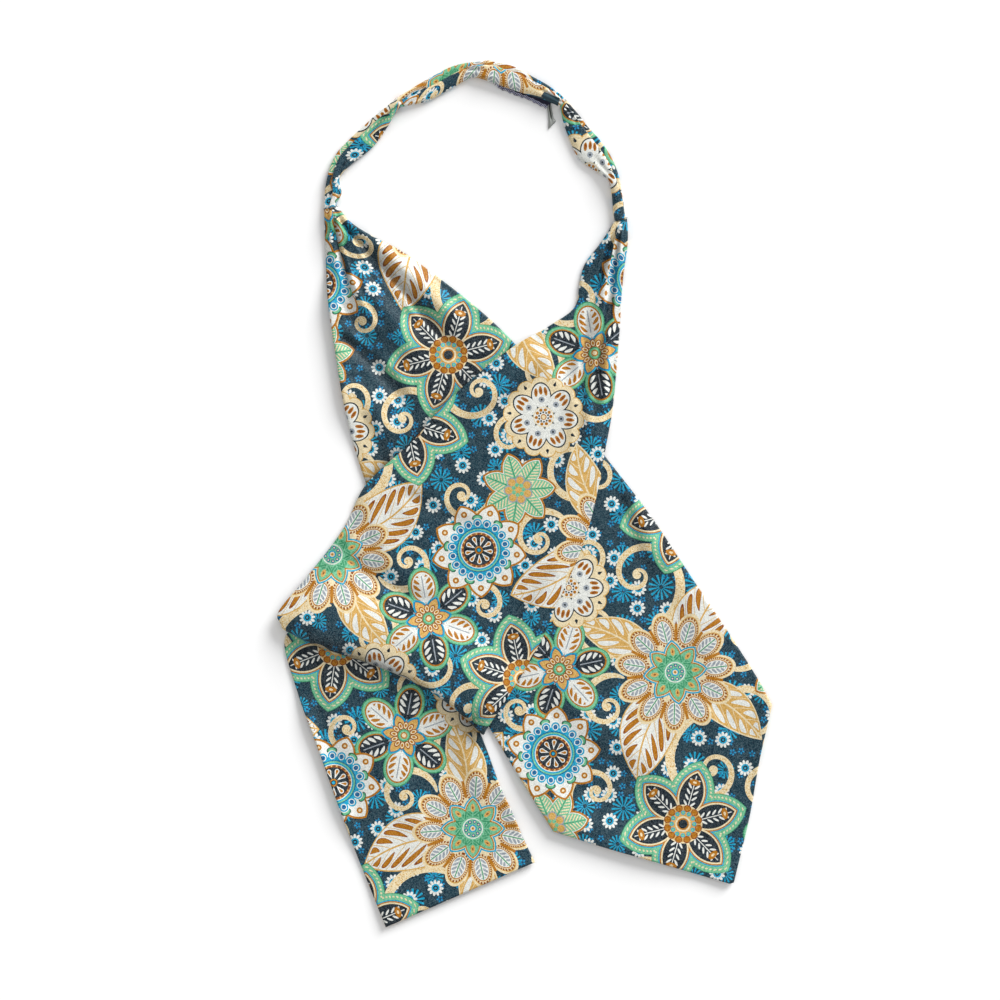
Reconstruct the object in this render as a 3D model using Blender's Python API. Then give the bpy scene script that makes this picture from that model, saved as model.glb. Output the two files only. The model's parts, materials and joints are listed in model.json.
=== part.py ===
"""Silk day cravat laid flat: two pleated blades crossed below a neckband that stays a loop.

Metres, +Z up, +Y towards the neckband. The cravat rests on z = 0 and the origin is the
middle of its footprint. Tables are in millimetres and read down the cloth from the neck.
"""

from collections import namedtuple
from math import pi

import bmesh
import bpy
import numpy as np

MM = 0.001

# Cloth
CLOTH = 1.8  # two plies of silk with their interlining
GAP = 0.3  # between pieces at seams and between layers
EDGE = 1.3  # how far a pressed edge takes to round over
EDGE_HEIGHT = 0.45  # height of the pressed edge, as a share of the wall
PITCH = 7.5  # spacing of the sections along a blade
COLUMNS = 17  # strips across a blade

# Tuck across the right blade: a soft roll, with a wedge of cloth folded under it
FOLD_RADIUS = 2.0  # inside the roll
FOLD_STEPS = 7
TUCK_BOW = 10.2  # how far the fold bends up the blade between its ends
TUCK_BOW_REACH = 34.0
TUCK_LEFT, TUCK_RIGHT = 3.5, 19.0  # depth of the layer folded under, at the two ends
TUCK_FLAT, TUCK_SLOPE = 16.0, 42.0  # the panel stays high, then comes down
TUCK_INWARD = np.array([0.40, 0.917])

# The right blade comes down beside the left one under it
STEP_MARGIN, STEP_SLOPE = 3.5, 13.0

# Neckband
BAND_PITCH = 5.0
LIP = 0.22  # share of the band's width where the upper layer's folded edge lies

# Adjuster
TAPE = 1.2
HOOK = 1.0

SILK = ("silk", (0.028, 0.062, 0.085), 0.42, 0.0)
BAND_SILK = ("band_silk", (0.46, 0.44, 0.36), 0.42, 0.0)
RIBBED_TAPE = ("ribbed_tape", (0.018, 0.017, 0.035), 0.75, 0.0)
BRIGHT_METAL = ("bright_metal", (0.62, 0.63, 0.62), 0.3, 1.0)

# A section is a line across the cloth between its two edges.
Section = namedtuple("Section", "left_x left_y right_x right_y")
# A fold is a soft ridge along a bent line. Both faces of the wall rise with it.
Fold = namedtuple("Fold", "x0 y0 x1 y1 x2 y2 half_width height")
# A pleat is a ridge of hidden layers that starts at the neck seam and dies away.
Pleat = namedtuple("Pleat", "x y half_width height")
# A band section has its two edges, its height, and how far it lies above the table.
Band = namedtuple("Band", "outer_x outer_y inner_x inner_y height lift")

LEFT_BLADE = [
    Section(-128.6, 183.0, -120.4, 184.6),  # neck seam
    Section(-128.2, 171.0, -111.5, 174.0),
    Section(-128.0, 161.0, -98.5, 165.5),
    Section(-127.4, 147.0, -81.0, 156.5),
    Section(-126.1, 124.0, -55.0, 138.2),
    Section(-121.6, 92.0, -26.2, 115.2),
    Section(-115.2, 54.0, -5.8, 95.4),
    Section(-101.1, 5.1, 22.4, 61.5),
    Section(-83.2, -33.0, 50.6, 25.0),
    Section(-61.5, -75.0, 80.0, -13.4),
    Section(-42.5, -110.0, 105.6, -51.8),
    Section(-27.5, -141.0, 131.2, -90.2),
    Section(-9.6, -171.5, 147.0, -115.0),
    Section(17.9, -215.7, 158.1, -135.0),  # shoulders of the point
]
LEFT_POINT = [
    LEFT_BLADE[-1],
    Section(49.0, -225.5, 150.5, -168.0),
    Section(89.0, -237.0, 144.0, -205.0),
    Section(131.0, -249.3, 133.6, -248.4),
]
LEFT_FOLDS = [
    Fold(-106, 166, -70, 138, -28, 92, 10, 2.8),  # along the neckline
    Fold(-118, 150, -92, 118, -56, 74, 13, 3.0),  # down the middle of the panel
    Fold(-127, 150, -125, 108, -112, 44, 17, 4.2),  # lifted outer edge
    Fold(-110, 76, -94, 50, -80, 30, 10, 1.8),
    Fold(60, 10, 74, -18, 84, -52, 9, 1.6),
    Fold(30, -150, 66, -172, 108, -196, 20, 1.8),
    Fold(-6, -178, 20, -214, 92, -236, 13, 2.4),  # lifted shoulder of the point
    Fold(150, -112, 156, -140, 146, -196, 12, 1.6),
]
LEFT_PLEATS = [
    Pleat(-124.5, 128, 4.2, 1.6),
    Pleat(-116.0, 134, 4.4, 2.0),
    Pleat(-104.0, 140, 4.8, 1.8),
]

RIGHT_PANEL = [
    Section(57.2, 175.0, 65.2, 177.0),  # neck seam
    Section(52.5, 167.0, 65.9, 166.0),
    Section(47.4, 159.4, 65.3, 156.2),
    Section(39.0, 148.5, 63.4, 143.4),
    Section(35.0, 136.0, 61.6, 124.2),
    Section(32.0, 120.0, 60.8, 108.2),
    Section(17.0, 108.5, 59.5, 92.2),
    Section(-5.8, 95.4, 57.6, 68.6),
    Section(-30.0, 77.0, 55.2, 48.6),
    Section(-52.5, 56.3, 51.5, 29.0),
    Section(-73.6, 32.0, 47.6, 8.0),
    Section(-87.0, 20.5, 44.5, -7.0),
    Section(-102.4, 5.1, 40.0, -24.0),
    Section(-115.5, -21.0, 33.0, -43.0),
    Section(-139.5, -53.0, 21.5, -68.0),
    Section(-157.4, -75.0, 5.0, -104.0),
    Section(-155.7, -84.0, -25.0, -151.0),  # the tuck
]
RIGHT_FOLDS = [
    Fold(48, 146, 50, 92, 40, 22, 9, 2.6),  # down the outer side
    Fold(36, 108, 32, 72, 22, 34, 9, 1.6),
    Fold(26, 98, 2, 78, -44, 44, 10, 1.8),  # along the neckline
    Fold(-6, 60, -46, 22, -84, -22, 15, 1.8),
    Fold(-104, -14, -128, -46, -146, -68, 12, 2.2),
    Fold(-96, -36, -74, -60, -30, -78, 15, 1.6),
    Fold(28, -10, 12, -48, -6, -86, 13, 1.5),
]
RIGHT_PLEATS = [
    Pleat(42.5, 144, 4.2, 1.5),
    Pleat(51.5, 134, 4.4, 1.8),
    Pleat(60.5, 132, 4.0, 1.4),
]

RIGHT_END = [
    Section(-147.0, -83.0, -45.0, -117.0),  # under the tuck
    Section(-154.0, -95.0, -27.8, -155.0),
    Section(-146.0, -125.4, -17.0, -184.0),
    Section(-129.5, -171.0, -7.6, -204.5),
    Section(-112.0, -219.5, -0.6, -221.4),
    Section(-89.0, -277.1, 6.4, -235.5),  # hem
]
RIGHT_END_FOLDS = [
    Fold(-130, -120, -92, -144, -36, -172, 12, 1.8),
    Fold(-116, -168, -84, -196, -54, -240, 15, 1.8),
    Fold(-146, -124, -132, -166, -108, -226, 14, 3.4),  # lifted outer edge
    Fold(-20, -176, -8, -202, 2, -222, 10, 1.8),
]

NECKBAND_LEFT = [
    Band(-128.6, 183.4, -120.4, 185.0, 6.0, 0),  # neck seam
    Band(-128.2, 191.4, -117.1, 192.0, 5.4, 0),
    Band(-127.4, 198.5, -118.6, 201.0, 6.4, 0),
    Band(-125.4, 207.0, -116.2, 205.5, 5.6, 0),
    Band(-121.0, 217.2, -109.4, 211.8, 4.4, 0),
    Band(-113.9, 225.3, -99.6, 219.5, 3.8, 0),
    Band(-101.1, 237.4, -92.2, 227.9, 4.0, 0),
    Band(-94.1, 243.8, -87.0, 236.0, 5.0, 0),
    Band(-87.6, 248.6, -83.4, 242.4, 6.6, 0),
    Band(-83.2, 252.6, -80.0, 247.2, 7.0, 0),  # first twist
]
NECKBAND_TOP = [
    Band(-82.9, 252.9, -79.7, 247.5, 7.0, 0),
    Band(-71.4, 260.1, -74.6, 248.3, 4.6, 0),
    Band(-58.2, 267.9, -62.6, 251.0, 3.8, 0),
    Band(-44.2, 274.4, -46.9, 259.2, 3.8, 0),
    Band(-32.0, 276.4, -33.0, 265.9, 4.6, 0.4),
    Band(-22.4, 277.1, -22.2, 263.2, 4.2, 1.5),
    Band(-7.0, 273.3, -11.2, 259.2, 3.8, 1.5),
    Band(5.0, 266.8, 0.6, 255.4, 3.8, 1.5),
    Band(14.6, 261.4, 10.6, 252.4, 3.8, 1.5),
    Band(22.6, 255.4, 19.0, 249.8, 4.0, 1.5),
    Band(26.4, 251.8, 22.4, 248.4, 4.0, 1.5),  # end beside the hook
]
NECKBAND_RIGHT = [
    Band(26.8, 251.4, 22.6, 248.0, 5.4, 0),
    Band(33.9, 243.2, 23.8, 239.6, 4.4, 0),
    Band(40.3, 234.9, 27.6, 227.9, 3.8, 0),
    Band(48.0, 226.4, 34.6, 213.6, 3.8, 0),
    Band(55.7, 214.6, 45.4, 205.9, 4.4, 0),
    Band(60.2, 202.6, 53.3, 200.0, 6.2, 0),  # second twist
    Band(61.6, 194.6, 55.0, 192.6, 5.6, 0),
    Band(65.0, 177.4, 57.1, 175.4, 5.0, 0),  # neck seam
]

# Height round a band's section: share of the width, share of the height.
BAND_PROFILE = [
    (0.10, 0.0),
    (0.0, 0.34),
    (0.07, 0.58),
    (LIP - 0.02, 0.66),
    (LIP + 0.02, 0.92),
    (0.42, 1.0),
    (0.68, 1.0),
    (0.92, 0.80),
    (1.0, 0.36),
    (0.90, 0.0),
]

ADJUSTER_TAPE = [
    Section(-22.0, 270.0, -18.2, 262.6),
    Section(-14.0, 267.0, -16.4, 259.0),
    Section(-3.0, 262.0, -6.6, 255.6),
    Section(8.0, 257.6, 4.0, 250.6),
    Section(16.0, 254.0, 12.0, 247.0),
    Section(20.8, 251.6, 19.6, 245.4),
]

# Outline of the hook, from its root round the fishtail end and back.
HOOK_OUTLINE = [
    (13.4, 246.3),
    (14.2, 242.6),
    (14.7, 238.0),
    (14.4, 234.2),
    (15.2, 232.4),
    (17.6, 235.3),
    (19.8, 238.2),
    (18.2, 240.6),
    (16.8, 244.4),
    (16.1, 245.7),
]


def tuck_height():
    """Underside of the right blade over its tuck: two layers and the fold lie below it."""
    return 2 * (CLOTH + GAP) - GAP + 2 * FOLD_RADIUS


def ease(value):
    """0 below 0, 1 above 1, with a soft start and end."""
    value = np.clip(value, 0, 1)
    return value * value * (3 - 2 * value)


def resample(table, pitch):
    """Rows of a table joined by a smooth curve, about one pitch apart."""
    rows = np.array(table, float)
    steps = np.linalg.norm(np.diff(rows[:, :2], axis=0), axis=1)
    steps += np.linalg.norm(np.diff(rows[:, 2:4], axis=0), axis=1)
    at = np.concatenate([[0], np.cumsum(steps / 2)])
    slopes = np.gradient(rows, at, axis=0)
    found = [rows[0]]
    for i, length in enumerate(np.diff(at)):
        count = max(1, round(length / pitch))
        for t in np.linspace(0, 1, count + 1)[1:]:
            start = (1 + 2 * t) * (1 - t) ** 2 * rows[i] + t * (1 - t) ** 2 * length * slopes[i]
            end = t * t * (3 - 2 * t) * rows[i + 1] - t * t * (1 - t) * length * slopes[i + 1]
            found.append(start + end)
    return np.array(found)


def across(rows, columns):
    """Plan of a blade: points along each section, with a narrow strip at both edges."""
    left, right = rows[:, None, 0:2], rows[:, None, 2:4]
    width = np.linalg.norm(right - left, axis=2)
    rim = np.minimum(EDGE / width, 0.12)
    inner = np.linspace(0, 1, columns - 1)[None, :] * (1 - 2 * rim) + rim
    share = np.concatenate([0 * rim, inner, 0 * rim + 1], axis=1)[:, :, None]
    return left * (1 - share) + right * share


def with_hem(rows, at_start=False):
    """Adds a section EDGE before the hem, so that the hem can round over like the sides."""
    if at_start:
        return with_hem(rows[::-1])[::-1]
    pace = np.linalg.norm(rows[-1, :4] - rows[-2, :4]) / 2**0.5
    near = rows[-1] + (rows[-2] - rows[-1]) * min(0.5, EDGE / pace)
    return np.vstack([rows[:-1], near, rows[-1:]])


def along_line(points, line):
    """Distance from each point to a line of points, and its place along it from 0 to 1."""
    starts, ends = line[:-1], line[1:]
    lengths = np.linalg.norm(ends - starts, axis=1)
    before = np.concatenate([[0], np.cumsum(lengths)])
    offset = points[..., None, :] - starts
    t = np.clip((offset * (ends - starts)).sum(-1) / lengths**2, 0, 1)
    gaps = np.linalg.norm(offset - t[..., None] * (ends - starts), axis=-1)
    nearest = gaps.argmin(-1)[..., None]
    place = np.take_along_axis(before[:-1] + t * lengths, nearest, -1)[..., 0]
    return np.take_along_axis(gaps, nearest, -1)[..., 0], place / before[-1]


def bent_line(fold, count=9):
    """Points on the curve that passes through a fold's three points."""
    t = np.linspace(0, 1, count)[:, None]
    start, middle, end = np.array(fold[:6], float).reshape(3, 2)
    return 2 * (t - 0.5) * (t - 1) * start - 4 * t * (t - 1) * middle + 2 * t * (t - 0.5) * end


def ridges(points, folds):
    """Height of the soft folds at each point."""
    height = np.zeros(points.shape[:-1])
    for fold in folds:
        gap, place = along_line(points, bent_line(fold))
        profile = np.cos(np.clip(gap / fold.half_width, 0, 1) * pi / 2) ** 2
        height += fold.height * profile * ease(place / 0.25) * ease((1 - place) / 0.35)
    return height


def gathers(points, seam, pleats, bundle=3.4, reach=34.0):
    """Hidden layers of the pleats: a bundle at the neck seam, and a ridge down each pleat."""
    middle = np.array([(seam.left_x + seam.right_x) / 2, (seam.left_y + seam.right_y) / 2])
    height = bundle * np.exp(-((np.linalg.norm(points - middle, axis=-1) / reach) ** 1.5))
    for pleat in pleats:
        gap, place = along_line(points, np.array([middle, [pleat.x, pleat.y]]))
        half_width = pleat.half_width * (0.35 + 0.65 * place)
        profile = np.cos(np.clip(gap / half_width, 0, 1) * pi / 2) ** 2
        height += pleat.height * profile * ease(place / 0.2) * (1 - ease(place))
    return height


def footprint(rows):
    """Outline of a blade, once round."""
    return np.vstack([rows[:, 0:2], rows[::-1, 2:4], rows[:1, 0:2]])


def distance_outside(points, outline):
    """How far each point lies outside a closed outline, 0 inside it."""
    gap, _ = along_line(points, outline)
    x, y = points[..., 0, None], points[..., 1, None]
    x0, y0, x1, y1 = *outline[:-1].T, *outline[1:].T
    crosses = (y0 > y) != (y1 > y)
    rise = np.where(y1 == y0, 1, y1 - y0)
    hits = crosses & (x < x0 + (y - y0) * (x1 - x0) / rise)
    return np.where(hits.sum(-1) % 2 == 1, 0, gap)


def rounded_wall(under, thickness, hems=(True, True)):
    """Upper face of a wall: one thickness above the underside, less at the pressed edges."""
    share = np.ones(under.shape[:2])
    share[:, [0, -1]] = EDGE_HEIGHT
    if hems[0]:
        share[0] = EDGE_HEIGHT
    if hems[1]:
        share[-1] = EDGE_HEIGHT
    over = under.copy()
    over[..., 2] += thickness * share
    return over


def add_mesh(name, finish, points, faces):
    """One closed body in millimetres becomes a smooth shaded object in metres."""
    mesh = bpy.data.meshes.new(name)
    mesh.from_pydata(np.asarray(points) * MM, [], faces)
    shell = bmesh.new()
    shell.from_mesh(mesh)
    bmesh.ops.recalc_face_normals(shell, faces=shell.faces)
    shell.to_mesh(mesh)
    shell.free()
    mesh.shade_smooth()
    mesh.set_sharp_from_angle(angle=pi / 4)
    mesh.materials.append(material(*finish))
    thing = bpy.data.objects.new(name, mesh)
    cravat.objects.link(thing)
    return thing


def add_wall(name, finish, under, over):
    """A cloth wall between two grids of points that match row by row."""
    rows, columns = under.shape[:2]
    size = rows * columns

    def at(row, column, layer):
        return layer * size + row * columns + column

    faces = []
    for r in range(rows - 1):
        for c in range(columns - 1):
            corners = [(r, c), (r + 1, c), (r + 1, c + 1), (r, c + 1)]
            faces.append([at(*corner, 0) for corner in corners])
            faces.append([at(*corner, 1) for corner in reversed(corners)])
    rim = [(r, 0) for r in range(rows)]
    rim += [(rows - 1, c) for c in range(1, columns)]
    rim += [(r, columns - 1) for r in range(rows - 2, -1, -1)]
    rim += [(0, c) for c in range(columns - 2, 0, -1)]
    for a, b in zip(rim, rim[1:] + rim[:1]):
        faces.append([at(*a, 0), at(*a, 1), at(*b, 1), at(*b, 0)])
    points = np.concatenate([under.reshape(-1, 3), over.reshape(-1, 3)])
    return add_mesh(name, finish, points, faces)


def add_band(name, table, finish):
    """A stretch of the folded neckband: its profile swept through the table's sections."""
    rows = resample(table, BAND_PITCH)
    profile = np.array(BAND_PROFILE)
    outer, inner = rows[:, None, 0:2], rows[:, None, 2:4]
    plan = outer + (inner - outer) * profile[None, :, 0, None]
    height = np.maximum(rows[:, None, 5], 0) + rows[:, None, 4] * profile[None, :, 1]
    points = np.concatenate([plan, height[..., None]], axis=2)
    rings, sides = points.shape[:2]
    faces = [list(range(sides)), list(range((rings - 1) * sides, rings * sides))]
    for ring in range(rings - 1):
        for side in range(sides):
            a, b = ring * sides + side, ring * sides + (side + 1) % sides
            faces.append([a, b, b + sides, a + sides])
    return add_mesh(name, finish, points.reshape(-1, 3), faces)


def left_rows():
    """The left blade from its neck seam to its point."""
    blade = resample(LEFT_BLADE, PITCH)
    point = resample(LEFT_POINT, PITCH)
    return with_hem(np.vstack([blade, point[1:]]))


def flat_plan(plan, height):
    """Plan points with their heights."""
    return np.concatenate([plan, height[..., None]], axis=2)


def make_left_blade():
    plan = across(left_rows(), COLUMNS)
    under = flat_plan(plan, ridges(plan, LEFT_FOLDS))
    thickness = CLOTH + gathers(plan, LEFT_BLADE[0], LEFT_PLEATS)
    add_wall("left_blade", SILK, under, rounded_wall(under, thickness, (False, True)))


def make_right_panel():
    """The right blade down to the tuck, where it folds under itself."""
    plan = across(resample(RIGHT_PANEL, PITCH), COLUMNS)
    share = np.linspace(0, 1, COLUMNS + 1)
    bow = TUCK_BOW * np.sin(pi * share**1.5)
    near_tuck = 1 - ease(along_line(plan, plan[-1])[0] / TUCK_BOW_REACH)
    plan += (near_tuck * bow)[..., None] * TUCK_INWARD
    beside = distance_outside(plan, footprint(left_rows()))
    over_left = (CLOTH + GAP) * (1 - ease((beside - STEP_MARGIN) / STEP_SLOPE))
    from_tuck, _ = along_line(plan, plan[-1])
    over_tuck = tuck_height() * (1 - ease((from_tuck - TUCK_FLAT) / TUCK_SLOPE))
    lie = np.maximum(over_left, over_tuck)
    under = flat_plan(plan, lie + ridges(plan, RIGHT_FOLDS))
    thickness = CLOTH + gathers(plan, RIGHT_PANEL[0], RIGHT_PLEATS)
    over = rounded_wall(under, thickness, (False, False))

    # the inside face turns round a line FOLD_RADIUS below it, and the outside face follows
    wall = (over[-1, :, 2] - under[-1, :, 2])[:, None]
    axis = under[-1] - [0, 0, FOLD_RADIUS]
    outward = np.append(-TUCK_INWARD, 0)
    inside, outside = [under], [over]
    for angle in np.linspace(pi / 2, -pi / 2, FOLD_STEPS + 1)[1:]:
        turn = np.cos(angle) * outward + [0, 0, np.sin(angle)]
        inside.append((axis + FOLD_RADIUS * turn)[None])
        outside.append((axis + (FOLD_RADIUS + wall) * turn)[None])
    depth = (TUCK_LEFT + (TUCK_RIGHT - TUCK_LEFT) * share)[:, None]
    for part in (0.35, 0.7, 1.0):
        back = np.append(TUCK_INWARD, 0) * depth * part
        inside.append(inside[FOLD_STEPS] + back)
        outside.append(outside[FOLD_STEPS] + back)
    add_wall("right_blade_panel", SILK, np.vstack(inside), np.vstack(outside))


def make_right_end():
    rows = with_hem(resample(RIGHT_END, PITCH))
    plan = across(rows, COLUMNS)
    under = flat_plan(plan, ridges(plan, RIGHT_END_FOLDS))
    add_wall("right_blade_end", SILK, under, rounded_wall(under, CLOTH))


def make_tape():
    plan = across(with_hem(with_hem(resample(ADJUSTER_TAPE, PITCH), True)), 4)
    under = flat_plan(plan, np.zeros(plan.shape[:2]))
    add_wall("adjuster_tape", RIBBED_TAPE, under, rounded_wall(under, TAPE))


def make_hook():
    """A flat outline with thickness, made a mesh so that its faces are one body."""
    curve = bpy.data.curves.new("hook_outline", "CURVE")
    curve.dimensions = "2D"
    curve.fill_mode = "BOTH"
    curve.extrude = HOOK * MM / 2
    outline = curve.splines.new("POLY")
    outline.points.add(len(HOOK_OUTLINE) - 1)
    for point, (x, y) in zip(outline.points, HOOK_OUTLINE):
        point.co = (x * MM, y * MM, 0, 1)
    outline.use_cyclic_u = True
    pattern = bpy.data.objects.new("hook_outline", curve)
    cravat.objects.link(pattern)
    pattern.location.z = HOOK * MM / 2
    bpy.context.view_layer.update()
    mesh = bpy.data.meshes.new_from_object(pattern.evaluated_get(bpy.context.evaluated_depsgraph_get()))
    plate = bmesh.new()
    plate.from_mesh(mesh)
    bmesh.ops.remove_doubles(plate, verts=plate.verts, dist=0.00001)
    bmesh.ops.recalc_face_normals(plate, faces=plate.faces)
    plate.to_mesh(mesh)
    plate.free()
    mesh.materials.append(material(*BRIGHT_METAL))
    hook = bpy.data.objects.new("hook", mesh)
    hook.matrix_world = pattern.matrix_world
    cravat.objects.link(hook)
    bpy.data.objects.remove(pattern)


def material(name, colour, roughness, metallic):
    """A plain Principled finish, made once."""
    found = bpy.data.materials.get(name)
    if found:
        return found
    found = bpy.data.materials.new(name)
    found.use_nodes = True
    shader = found.node_tree.nodes["Principled BSDF"]
    shader.inputs["Base Color"].default_value = (*colour, 1)
    shader.inputs["Roughness"].default_value = roughness
    shader.inputs["Metallic"].default_value = metallic
    return found


for thing in list(bpy.data.objects):
    bpy.data.objects.remove(thing)
cravat = bpy.data.collections.new("silk_cravat")
bpy.context.scene.collection.children.link(cravat)

make_left_blade()
make_right_panel()
make_right_end()
add_band("neckband_left", NECKBAND_LEFT, BAND_SILK)
add_band("neckband_top", NECKBAND_TOP, BAND_SILK)
add_band("neckband_right", NECKBAND_RIGHT, BAND_SILK)
make_tape()
make_hook()
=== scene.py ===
import json
from collections import namedtuple
from math import cos, e, pi, radians, sin

import bmesh
import bpy
import numpy as np
from mathutils.bvhtree import BVHTree
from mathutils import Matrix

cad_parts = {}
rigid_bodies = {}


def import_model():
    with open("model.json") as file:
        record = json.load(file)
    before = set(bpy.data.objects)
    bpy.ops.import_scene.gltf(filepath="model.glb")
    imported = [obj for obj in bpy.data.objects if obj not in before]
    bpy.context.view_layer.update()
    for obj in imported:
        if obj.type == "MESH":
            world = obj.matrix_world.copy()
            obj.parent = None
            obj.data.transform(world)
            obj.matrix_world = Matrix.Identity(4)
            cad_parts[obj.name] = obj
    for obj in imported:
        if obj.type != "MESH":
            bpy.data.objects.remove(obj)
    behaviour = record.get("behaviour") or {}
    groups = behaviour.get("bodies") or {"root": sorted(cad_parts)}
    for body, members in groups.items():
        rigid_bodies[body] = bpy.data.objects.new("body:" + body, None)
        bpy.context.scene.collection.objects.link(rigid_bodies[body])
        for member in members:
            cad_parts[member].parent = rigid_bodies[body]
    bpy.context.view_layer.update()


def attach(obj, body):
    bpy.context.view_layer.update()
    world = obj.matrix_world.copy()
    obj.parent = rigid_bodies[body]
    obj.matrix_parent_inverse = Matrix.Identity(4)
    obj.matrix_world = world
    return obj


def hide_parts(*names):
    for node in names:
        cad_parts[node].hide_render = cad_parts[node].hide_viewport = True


def shade(code, strength=0.86):
    # a printed colour, written as red, green and blue in hexadecimal
    parts = [int(code[i : i + 2], 16) / 255 for i in (0, 2, 4)]
    linear = [p / 12.92 if p < 0.04045 else ((p + 0.055) / 1.055) ** 2.4 for p in parts]
    return tuple(strength * p for p in linear) + (1.0,)


inks = {
    "ground": shade("1F404C"), "navy": shade("1B2B34"), "blue": shade("089FC4"),
    "deepBlue": shade("0F6494"), "white": shade("E2E4DE"), "cream": shade("E6D5AE"),
    "tan": shade("D2A75C"), "orange": shade("B07200"), "rust": shade("8C4C02"),
    "mint": shade("74BC93"), "leafGreen": shade("3F9469"), "grey": shade("98A0A8"),
    "tapeNavy": shade("282840"), "threadNavy": shade("22303C"), "lavender": shade("D2D4EE", 1.0),
}


class Wire:
    # a node's output, which takes ordinary arithmetic
    def __init__(self, socket):
        self.socket = socket
        self.tree = socket.id_data

    def output(self, name):
        # another output of the same node
        return Wire(self.socket.node.outputs[name])


def arithmetic(operation):
    return lambda *values: work(operation, *values)


for signs, operation in [
    ("add radd", "ADD"),
    ("sub", "SUBTRACT"),
    ("mul rmul", "MULTIPLY"),
    ("truediv", "DIVIDE"),
    ("gt", "GREATER_THAN"),
    ("lt", "LESS_THAN"),
    ("abs", "ABSOLUTE"),
]:
    for sign in signs.split():
        setattr(Wire, f"__{sign}__", arithmetic(operation))
Wire.__rsub__ = lambda wire, other: work("SUBTRACT", other, wire)


def feed(socket, value):
    if isinstance(value, Wire):
        value.tree.links.new(value.socket, socket)
    else:
        socket.default_value = value


def addNode(tree, kind, inputs=(), output=0, **settings):
    # a node with its settings and inputs; gives one of its outputs
    node = tree.nodes.new(kind)
    for name, setting in settings.items():
        setattr(node, name, setting)
    for name, value in dict(inputs).items():
        feed(node.inputs[name], value)
    return Wire(node.outputs[output])


def treeOf(*values):
    return next(value.tree for value in values if isinstance(value, Wire))


def work(operation, *values):
    return addNode(treeOf(*values), "ShaderNodeMath", dict(enumerate(values)), operation=operation)


def wrapped(value, half):
    # value brought into the range from -half to half by whole steps
    return work("WRAP", value, half, -half)


def smaller(a, b):
    return work("MINIMUM", a, b)


def larger(a, b):
    return work("MAXIMUM", a, b)


def joined(x, y, z=0):
    return addNode(treeOf(x, y, z), "ShaderNodeCombineXYZ", {0: x, 1: y, 2: z})


def parted(place):
    x = addNode(place.tree, "ShaderNodeSeparateXYZ", {0: place})
    return x, x.output(1)


def span(x, y):
    # length of the line from 0 to x, y
    line = joined(x, y)
    return addNode(line.tree, "ShaderNodeVectorMath", {0: line}, "Value", operation="LENGTH")


def polar(x, y):
    return span(x, y), work("ARCTAN2", y, x)


def turnedAbout(x, y, turn):
    # the same place as seen by a motif turned by some degrees
    if not turn:
        return x, y
    c, s = cos(radians(turn)), sin(radians(turn))
    return x * c + y * s, y * c - x * s


def mixed(amount, under, over):
    return addNode(amount.tree, "ShaderNodeMix", {0: amount, 6: under, 7: over}, 2, data_type="RGBA")


class Layers:
    # inks laid one over another
    def __init__(self, ink):
        self.ink = ink

    def lay(self, depth, *bands, start=0, mask=None):
        # inks and the depths where they change, in from a shape's edge; none is laid outside it
        starts, names = [start, *bands[1::2]], bands[0::2]
        reach = starts[-1] * 1.06 + 0.6
        share = depth * (1 / reach)
        colour = addNode(depth.tree, "ShaderNodeValToRGB", {0: share}, "Color")
        ramp = colour.socket.node.color_ramp
        ramp.interpolation = "CONSTANT"
        edge, first = ramp.elements
        edge.position, edge.color = 0, (0, 0, 0, 0)
        first.position, first.color = 0.004 + start / reach, inks[names[0]]
        for place, name in zip(starts[1:], names[1:]):
            ramp.elements.new(place / reach).color = inks[name]
        shown = colour.output("Alpha")
        if mask is not None:
            shown = shown * mask
        self.ink = mixed(shown, self.ink, colour)


def after(ink, x):
    # x as it was, but worked out once the ink before it is known, so few values are held at a time
    red = addNode(x.tree, "ShaderNodeSeparateColor", {0: ink})
    return x + red * 0.0000001


# shapes: each gives the depth in from its edge, in millimetres
def oval(x, y, halfLength, halfWidth):
    return halfWidth - span(x * (halfWidth / halfLength), y)


def lens(x, y, halfLength, halfWidth):
    # two arcs that meet in a point at both ends; y is not negative
    arc = (halfLength**2 + halfWidth**2) / (2 * halfWidth)
    return arc - span(x, y + (arc - halfWidth))


def drop(x, y, length, halfWidth):
    # pointed at x = 0, round at x = length; y is not negative
    middle = length - halfWidth
    point = smaller(x * (halfWidth / middle) - y, middle - x)
    return larger(point, halfWidth - span(x - middle, y))


def petals(radius, angle, count, turn=0.0):
    # the place within one of a ring of petals: along it, and to either side of its middle
    within = wrapped(angle + turn, pi / count)
    return radius * work("COSINE", within), abs(radius * work("SINE", within))


def beads(radius, angle, count, ringRadius, size):
    within = wrapped(angle, pi / count)
    return size - span(radius - ringRadius, within * ringRadius)


def curl(x, y, turn, hand, inner, outer, growth, width):
    # a tendril that winds out from a round bulb and widens to a blunt end
    radius = span(x, y)
    angle = work("ARCTAN2", y, x) * hand
    winding = work("LOGARITHM", radius, e) * (1 / growth) - angle + radians(turn)
    aside = abs(wrapped(winding, pi)) * growth * radius
    stem, taper = width * 0.62, width * 0.06
    blunt = stem + taper * outer
    reach = aside * -1 + (radius * taper + stem)
    reach = smaller(reach, blunt - span(larger(radius - outer + blunt, 0), aside))
    return larger(smaller(reach, (radius - inner) * 2), inner * 1.25 - radius)


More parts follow.
